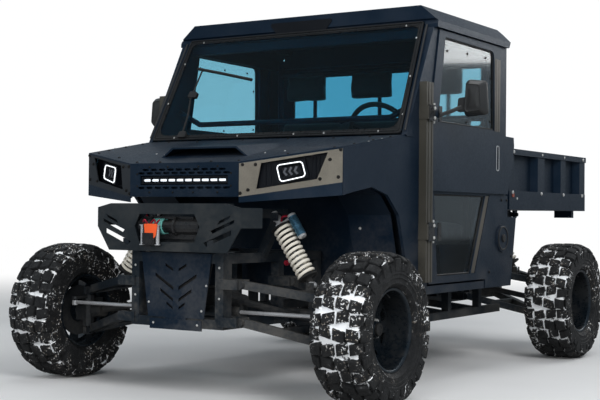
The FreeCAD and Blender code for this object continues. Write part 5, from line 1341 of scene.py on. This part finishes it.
def make_cab_trim():
    """Fuel and hinge covers, hinge pins, post and pillar strips, roof plate, splash sheet and reflectors."""
    fuel, covers, pins, posts, pillars, amber = [], [], [], [], [], []
    ring = [(0, .068), (.0022, .068), (.0030, .0665), (.0030, .0600), (.0022, .0585), (0, .0585)]
    cap = [(0, 0), (0, .022), (.006, .022), (.0095, .020), (.0095, 0)]
    for _, side in SIDES:
        middle = placed(np.array(FUEL_CAP) * (side, 1, 1))
        fuel += [lathe(ring, middle, (side, 0, 0), 48, True), lathe(cap, middle, (side, 0, 0), 24)]
        covers += [side_patch(side, HINGE_X, 0.640, 0.703, z0, z1, 0.0045) for z0, z1 in HINGES]
        pins += [upright(side * 0.828, 0.722, z0 - 0.010, z1 - z0 + 0.022, 0.0062) for z0, z1 in HINGES]
        posts += [side_patch(side, 0.8262, y - .0032, y + .0032, 0.830, 1.300, 0.0040)
                  for y in (0.650, 0.684)]
        line = on_screen(((side * 0.786, 0.020), (side * 0.757, SLOPE_LENGTH - 0.03)), 0.0005)
        pillars.append(sweep(line, strip(0.009, 0.005, 0.0015), normal=SCREEN_OUT))
        outline = on_side(rectangle(1.944, 1.972, 0.958, 0.982), side * 0.7300)
        amber.append(plate(filleted(outline, 0.004, 4), (side * 0.004, 0, 0)))
    make_object("fuel_covers", "moulded_black", fuel)
    make_object("hinge_covers", "winch_black", covers)
    make_object("hinge_pins", "zinc_bolt", pins)
    make_object("post_strips", "bronze_strip", posts)
    spots, out = on_front("roof_panel", ((-0.135, 1.798), (0.135, 1.798), (0.205, 1.880), (-0.205, 1.880)),
                          0.2, 0.0005)
    make_object("roof_plate", "lamp_black", [plate(filleted(spots, 0.010, 5), out * 0.0035)])
    spots, out = on_front("skid_plate", ((-0.150, SPLASH_LOW), (0.150, SPLASH_LOW), (0.176, SPLASH_HIGH),
                                         (-0.176, SPLASH_HIGH)), -0.6, 0.020)
    low, high = spots[:2], spots[3:1:-1]
    rise = (high - low) / (SPLASH_HIGH - SPLASH_LOW)
    sheet = np.concatenate([low - rise * 0.05, (high + rise * 0.10)[::-1]])
    make_object("splash_sheet", "rubber_black", [plate(sheet, out * 0.002)])
    make_object("pillar_strips", "mirror_black", pillars)
    make_object("bed_reflectors", "reflector_amber", amber, "load_bed")


class FittingOperator(bpy.types.Operator):
    """Makes the steering wheel, the winch's rope and strap, mirrors, trim strips, handles and reflectors"""
    bl_idname = "utv.fittings"
    bl_label = "Fittings"

    def execute(self, context):
        make_object("wheel_grip", "moulded_black", [steering_wheel()], "steering",
                    replaced=("steering_wheel",))
        make_winch_fittings()
        for label, side in SIDES:
            make_door_fittings(label, side)
        make_cab_trim()
        return {"FINISHED"}


# Floor, lamps and camera

LIGHTS = (
    # name, place, size, power
    ("key", (6.5, -5.0, 5.5), 4.0, 420.0),
    ("fill", (-6.0, -5.0, 3.5), 4.5, 110.0),
    ("low", (2.4, -7.5, 1.7), 2.4, 190.0),
    ("top", (0.0, 0.5, 6.5), 5.0, 110.0),
    ("back", (3.0, 7.0, 4.5), 4.0, 150.0),
)
LIT_POINT = Vector((0, -0.2, 0.8))
CAMERA_PLACE = (3.5285, -4.7257, 0.8436)
CAMERA_AZIMUTH, CAMERA_PITCH, CAMERA_ROLL = radians(32.578), radians(0.688), radians(0.538)
FOCAL_PIXELS, PHOTO_WIDTH, SENSOR_WIDTH = 1225.356, 600.0, 36.0


def make_floor(scene):
    """Pale round floor that fades to white far out and to the camera alone."""
    turn = np.linspace(0, 2 * pi, 64, endpoint=False)
    rings = np.array([0.0, 3.0, 8.0, 40.0])[:, None]
    points = np.stack([rings * np.cos(turn), rings * np.sin(turn), np.zeros((4, 64))], -1)
    mesh = bpy.data.meshes.new("studio_floor")
    mesh.from_pydata(points.reshape(-1, 3).tolist(), [], grid_faces(4, 64, False, True).tolist())
    floor = bpy.data.objects.new("studio_floor", mesh)
    scene.collection.objects.link(floor)
    material = bpy.data.materials.new("pale_floor")
    material.use_nodes = True
    tree = material.node_tree
    tree.nodes.clear()
    spot = object_point(tree)
    far = add_node(tree, "ShaderNodeVectorMath", {"operation": "LENGTH"}, {0: spot}).outputs[1]
    seen = add_node(tree, "ShaderNodeLightPath").outputs["Is Camera Ray"]
    tone = product(tree, scaled(tree, noise(tree, spot, 0.8), 0.3, 0.7, 0.86, 0.90),
                   scaled(tree, seen, 0.0, 1.0, 0.35, 1.0))
    colour = add_node(tree, "ShaderNodeCombineColor", None, {0: tone, 1: tone, 2: tone}).outputs[0]
    matte = add_node(tree, "ShaderNodeBsdfDiffuse", None, {0: colour}).outputs[0]
    white = add_node(tree, "ShaderNodeEmission", None, {0: (1, 1, 1, 1), 1: 1.0}).outputs[0]
    blend = add_node(tree, "ShaderNodeMixShader", None,
                     {0: product(tree, scaled(tree, far, 3.0, 11.0), seen), 1: matte, 2: white}).outputs[0]
    add_node(tree, "ShaderNodeOutputMaterial", None, {0: blend})
    mesh.materials.append(material)


def light_world(scene):
    """White to the camera, also through glass, soft and dim to all else."""
    world = scene.world = bpy.data.worlds.new("studio")
    world.use_nodes = True
    tree = world.node_tree
    back = tree.nodes["Background"]
    path = add_node(tree, "ShaderNodeLightPath").outputs
    turned = total(tree, path["Diffuse Depth"], path["Glossy Depth"])
    matte = add_node(tree, "ShaderNodeClamp", None, {0: turned}).outputs[0]
    clear = product(tree, path["Is Transmission Ray"], sum_up(tree, "SUBTRACT", 1.0, matte))
    direct = sum_up(tree, "MAXIMUM", path["Is Camera Ray"], clear)
    tree.links.new(mixed(tree, direct, (0.78, 0.90, 1.0, 1.0), (0.98, 0.99, 1.0, 1.0)), back.inputs[0])
    shine = product(tree, path["Is Glossy Ray"], 0.10)
    strength = sum_up(tree, "MAXIMUM", product(tree, direct, 0.82), shine)
    tree.links.new(total(tree, strength, 0.20), back.inputs[1])


def make_lights(scene):
    """Square area lamps, each turned to the vehicle's middle."""
    for name, spot, size, power in LIGHTS:
        lamp = bpy.data.lights.new(name, "AREA")
        lamp.shape, lamp.size, lamp.energy = "SQUARE", size, power
        holder = bpy.data.objects.new(name, lamp)
        holder.visible_glossy = name in ("top", "back")
        holder.location = spot
        holder.rotation_euler = (LIT_POINT - Vector(spot)).to_track_quat("-Z", "Y").to_euler()
        scene.collection.objects.link(holder)


def make_camera(scene):
    """The photo's view: its axes are worked out from the azimuth, pitch and roll."""
    ahead = Vector((-sin(CAMERA_AZIMUTH) * cos(CAMERA_PITCH), cos(CAMERA_AZIMUTH) * cos(CAMERA_PITCH),
                    sin(CAMERA_PITCH)))
    right = Vector((cos(CAMERA_AZIMUTH), sin(CAMERA_AZIMUTH), 0.0))
    up = right.cross(ahead)
    across = right * cos(CAMERA_ROLL) + up * sin(CAMERA_ROLL)
    above = up * cos(CAMERA_ROLL) - right * sin(CAMERA_ROLL)
    camera = bpy.data.cameras.new("camera")
    camera.sensor_width = SENSOR_WIDTH
    camera.lens = SENSOR_WIDTH * FOCAL_PIXELS / PHOTO_WIDTH
    scene.camera = bpy.data.objects.new("camera", camera)
    turned = Matrix((across, above, -ahead)).transposed().to_4x4()
    turned.translation = Vector(placed(CAMERA_PLACE))
    scene.camera.matrix_world = turned
    scene.collection.objects.link(scene.camera)


class StageOperator(bpy.types.Operator):
    """Sets the pale floor, the soft studio light and the camera"""
    bl_idname = "utv.stage"
    bl_label = "Stage"

    def execute(self, context):
        for make in (make_floor, light_world, make_lights, make_camera):
            make(context.scene)
        context.scene.view_settings.view_transform = "Standard"
        return {"FINISHED"}


OPERATORS = (FinishOperator, TyreOperator, WheelOperator, StrutOperator, LampOperator, SealOperator,
             BoltOperator, SeatOperator, FittingOperator, StageOperator)
SETTINGS = (("utv_paint", PaintSettings), ("utv_tyres", TyreSettings), ("utv_springs", SpringSettings),
            ("utv_lamps", LampSettings))


class VehiclePanel(bpy.types.Panel):
    """Lists the vehicle's settings and the steps that make it"""
    bl_idname = "VIEW3D_PT_utv"
    bl_label = "Vehicle"
    bl_space_type = "VIEW_3D"
    bl_region_type = "UI"
    bl_category = "Vehicle"

    def draw(self, context):
        for name, group in SETTINGS:
            settings = getattr(context.scene, name)
            for key in group.__annotations__:
                self.layout.prop(settings, key)
        for step in OPERATORS:
            self.layout.operator(step.bl_idname)


def register():
    """Registers the settings, the steps and the panel."""
    for name, group in SETTINGS:
        bpy.utils.register_class(group)
        setattr(bpy.types.Scene, name, PointerProperty(type=group))
    for step in OPERATORS:
        bpy.utils.register_class(step)
    bpy.utils.register_class(VehiclePanel)


def unregister():
    """Takes back what register made."""
    bpy.utils.unregister_class(VehiclePanel)
    for step in reversed(OPERATORS):
        bpy.utils.unregister_class(step)
    for name, group in reversed(SETTINGS):
        delattr(bpy.types.Scene, name)
        bpy.utils.unregister_class(group)


def main():
    """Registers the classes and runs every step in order."""
    register()
    for step in OPERATORS:
        area, name = step.bl_idname.split(".")
        getattr(getattr(bpy.ops, area), name)()


if __name__ == "__main__":
    main()
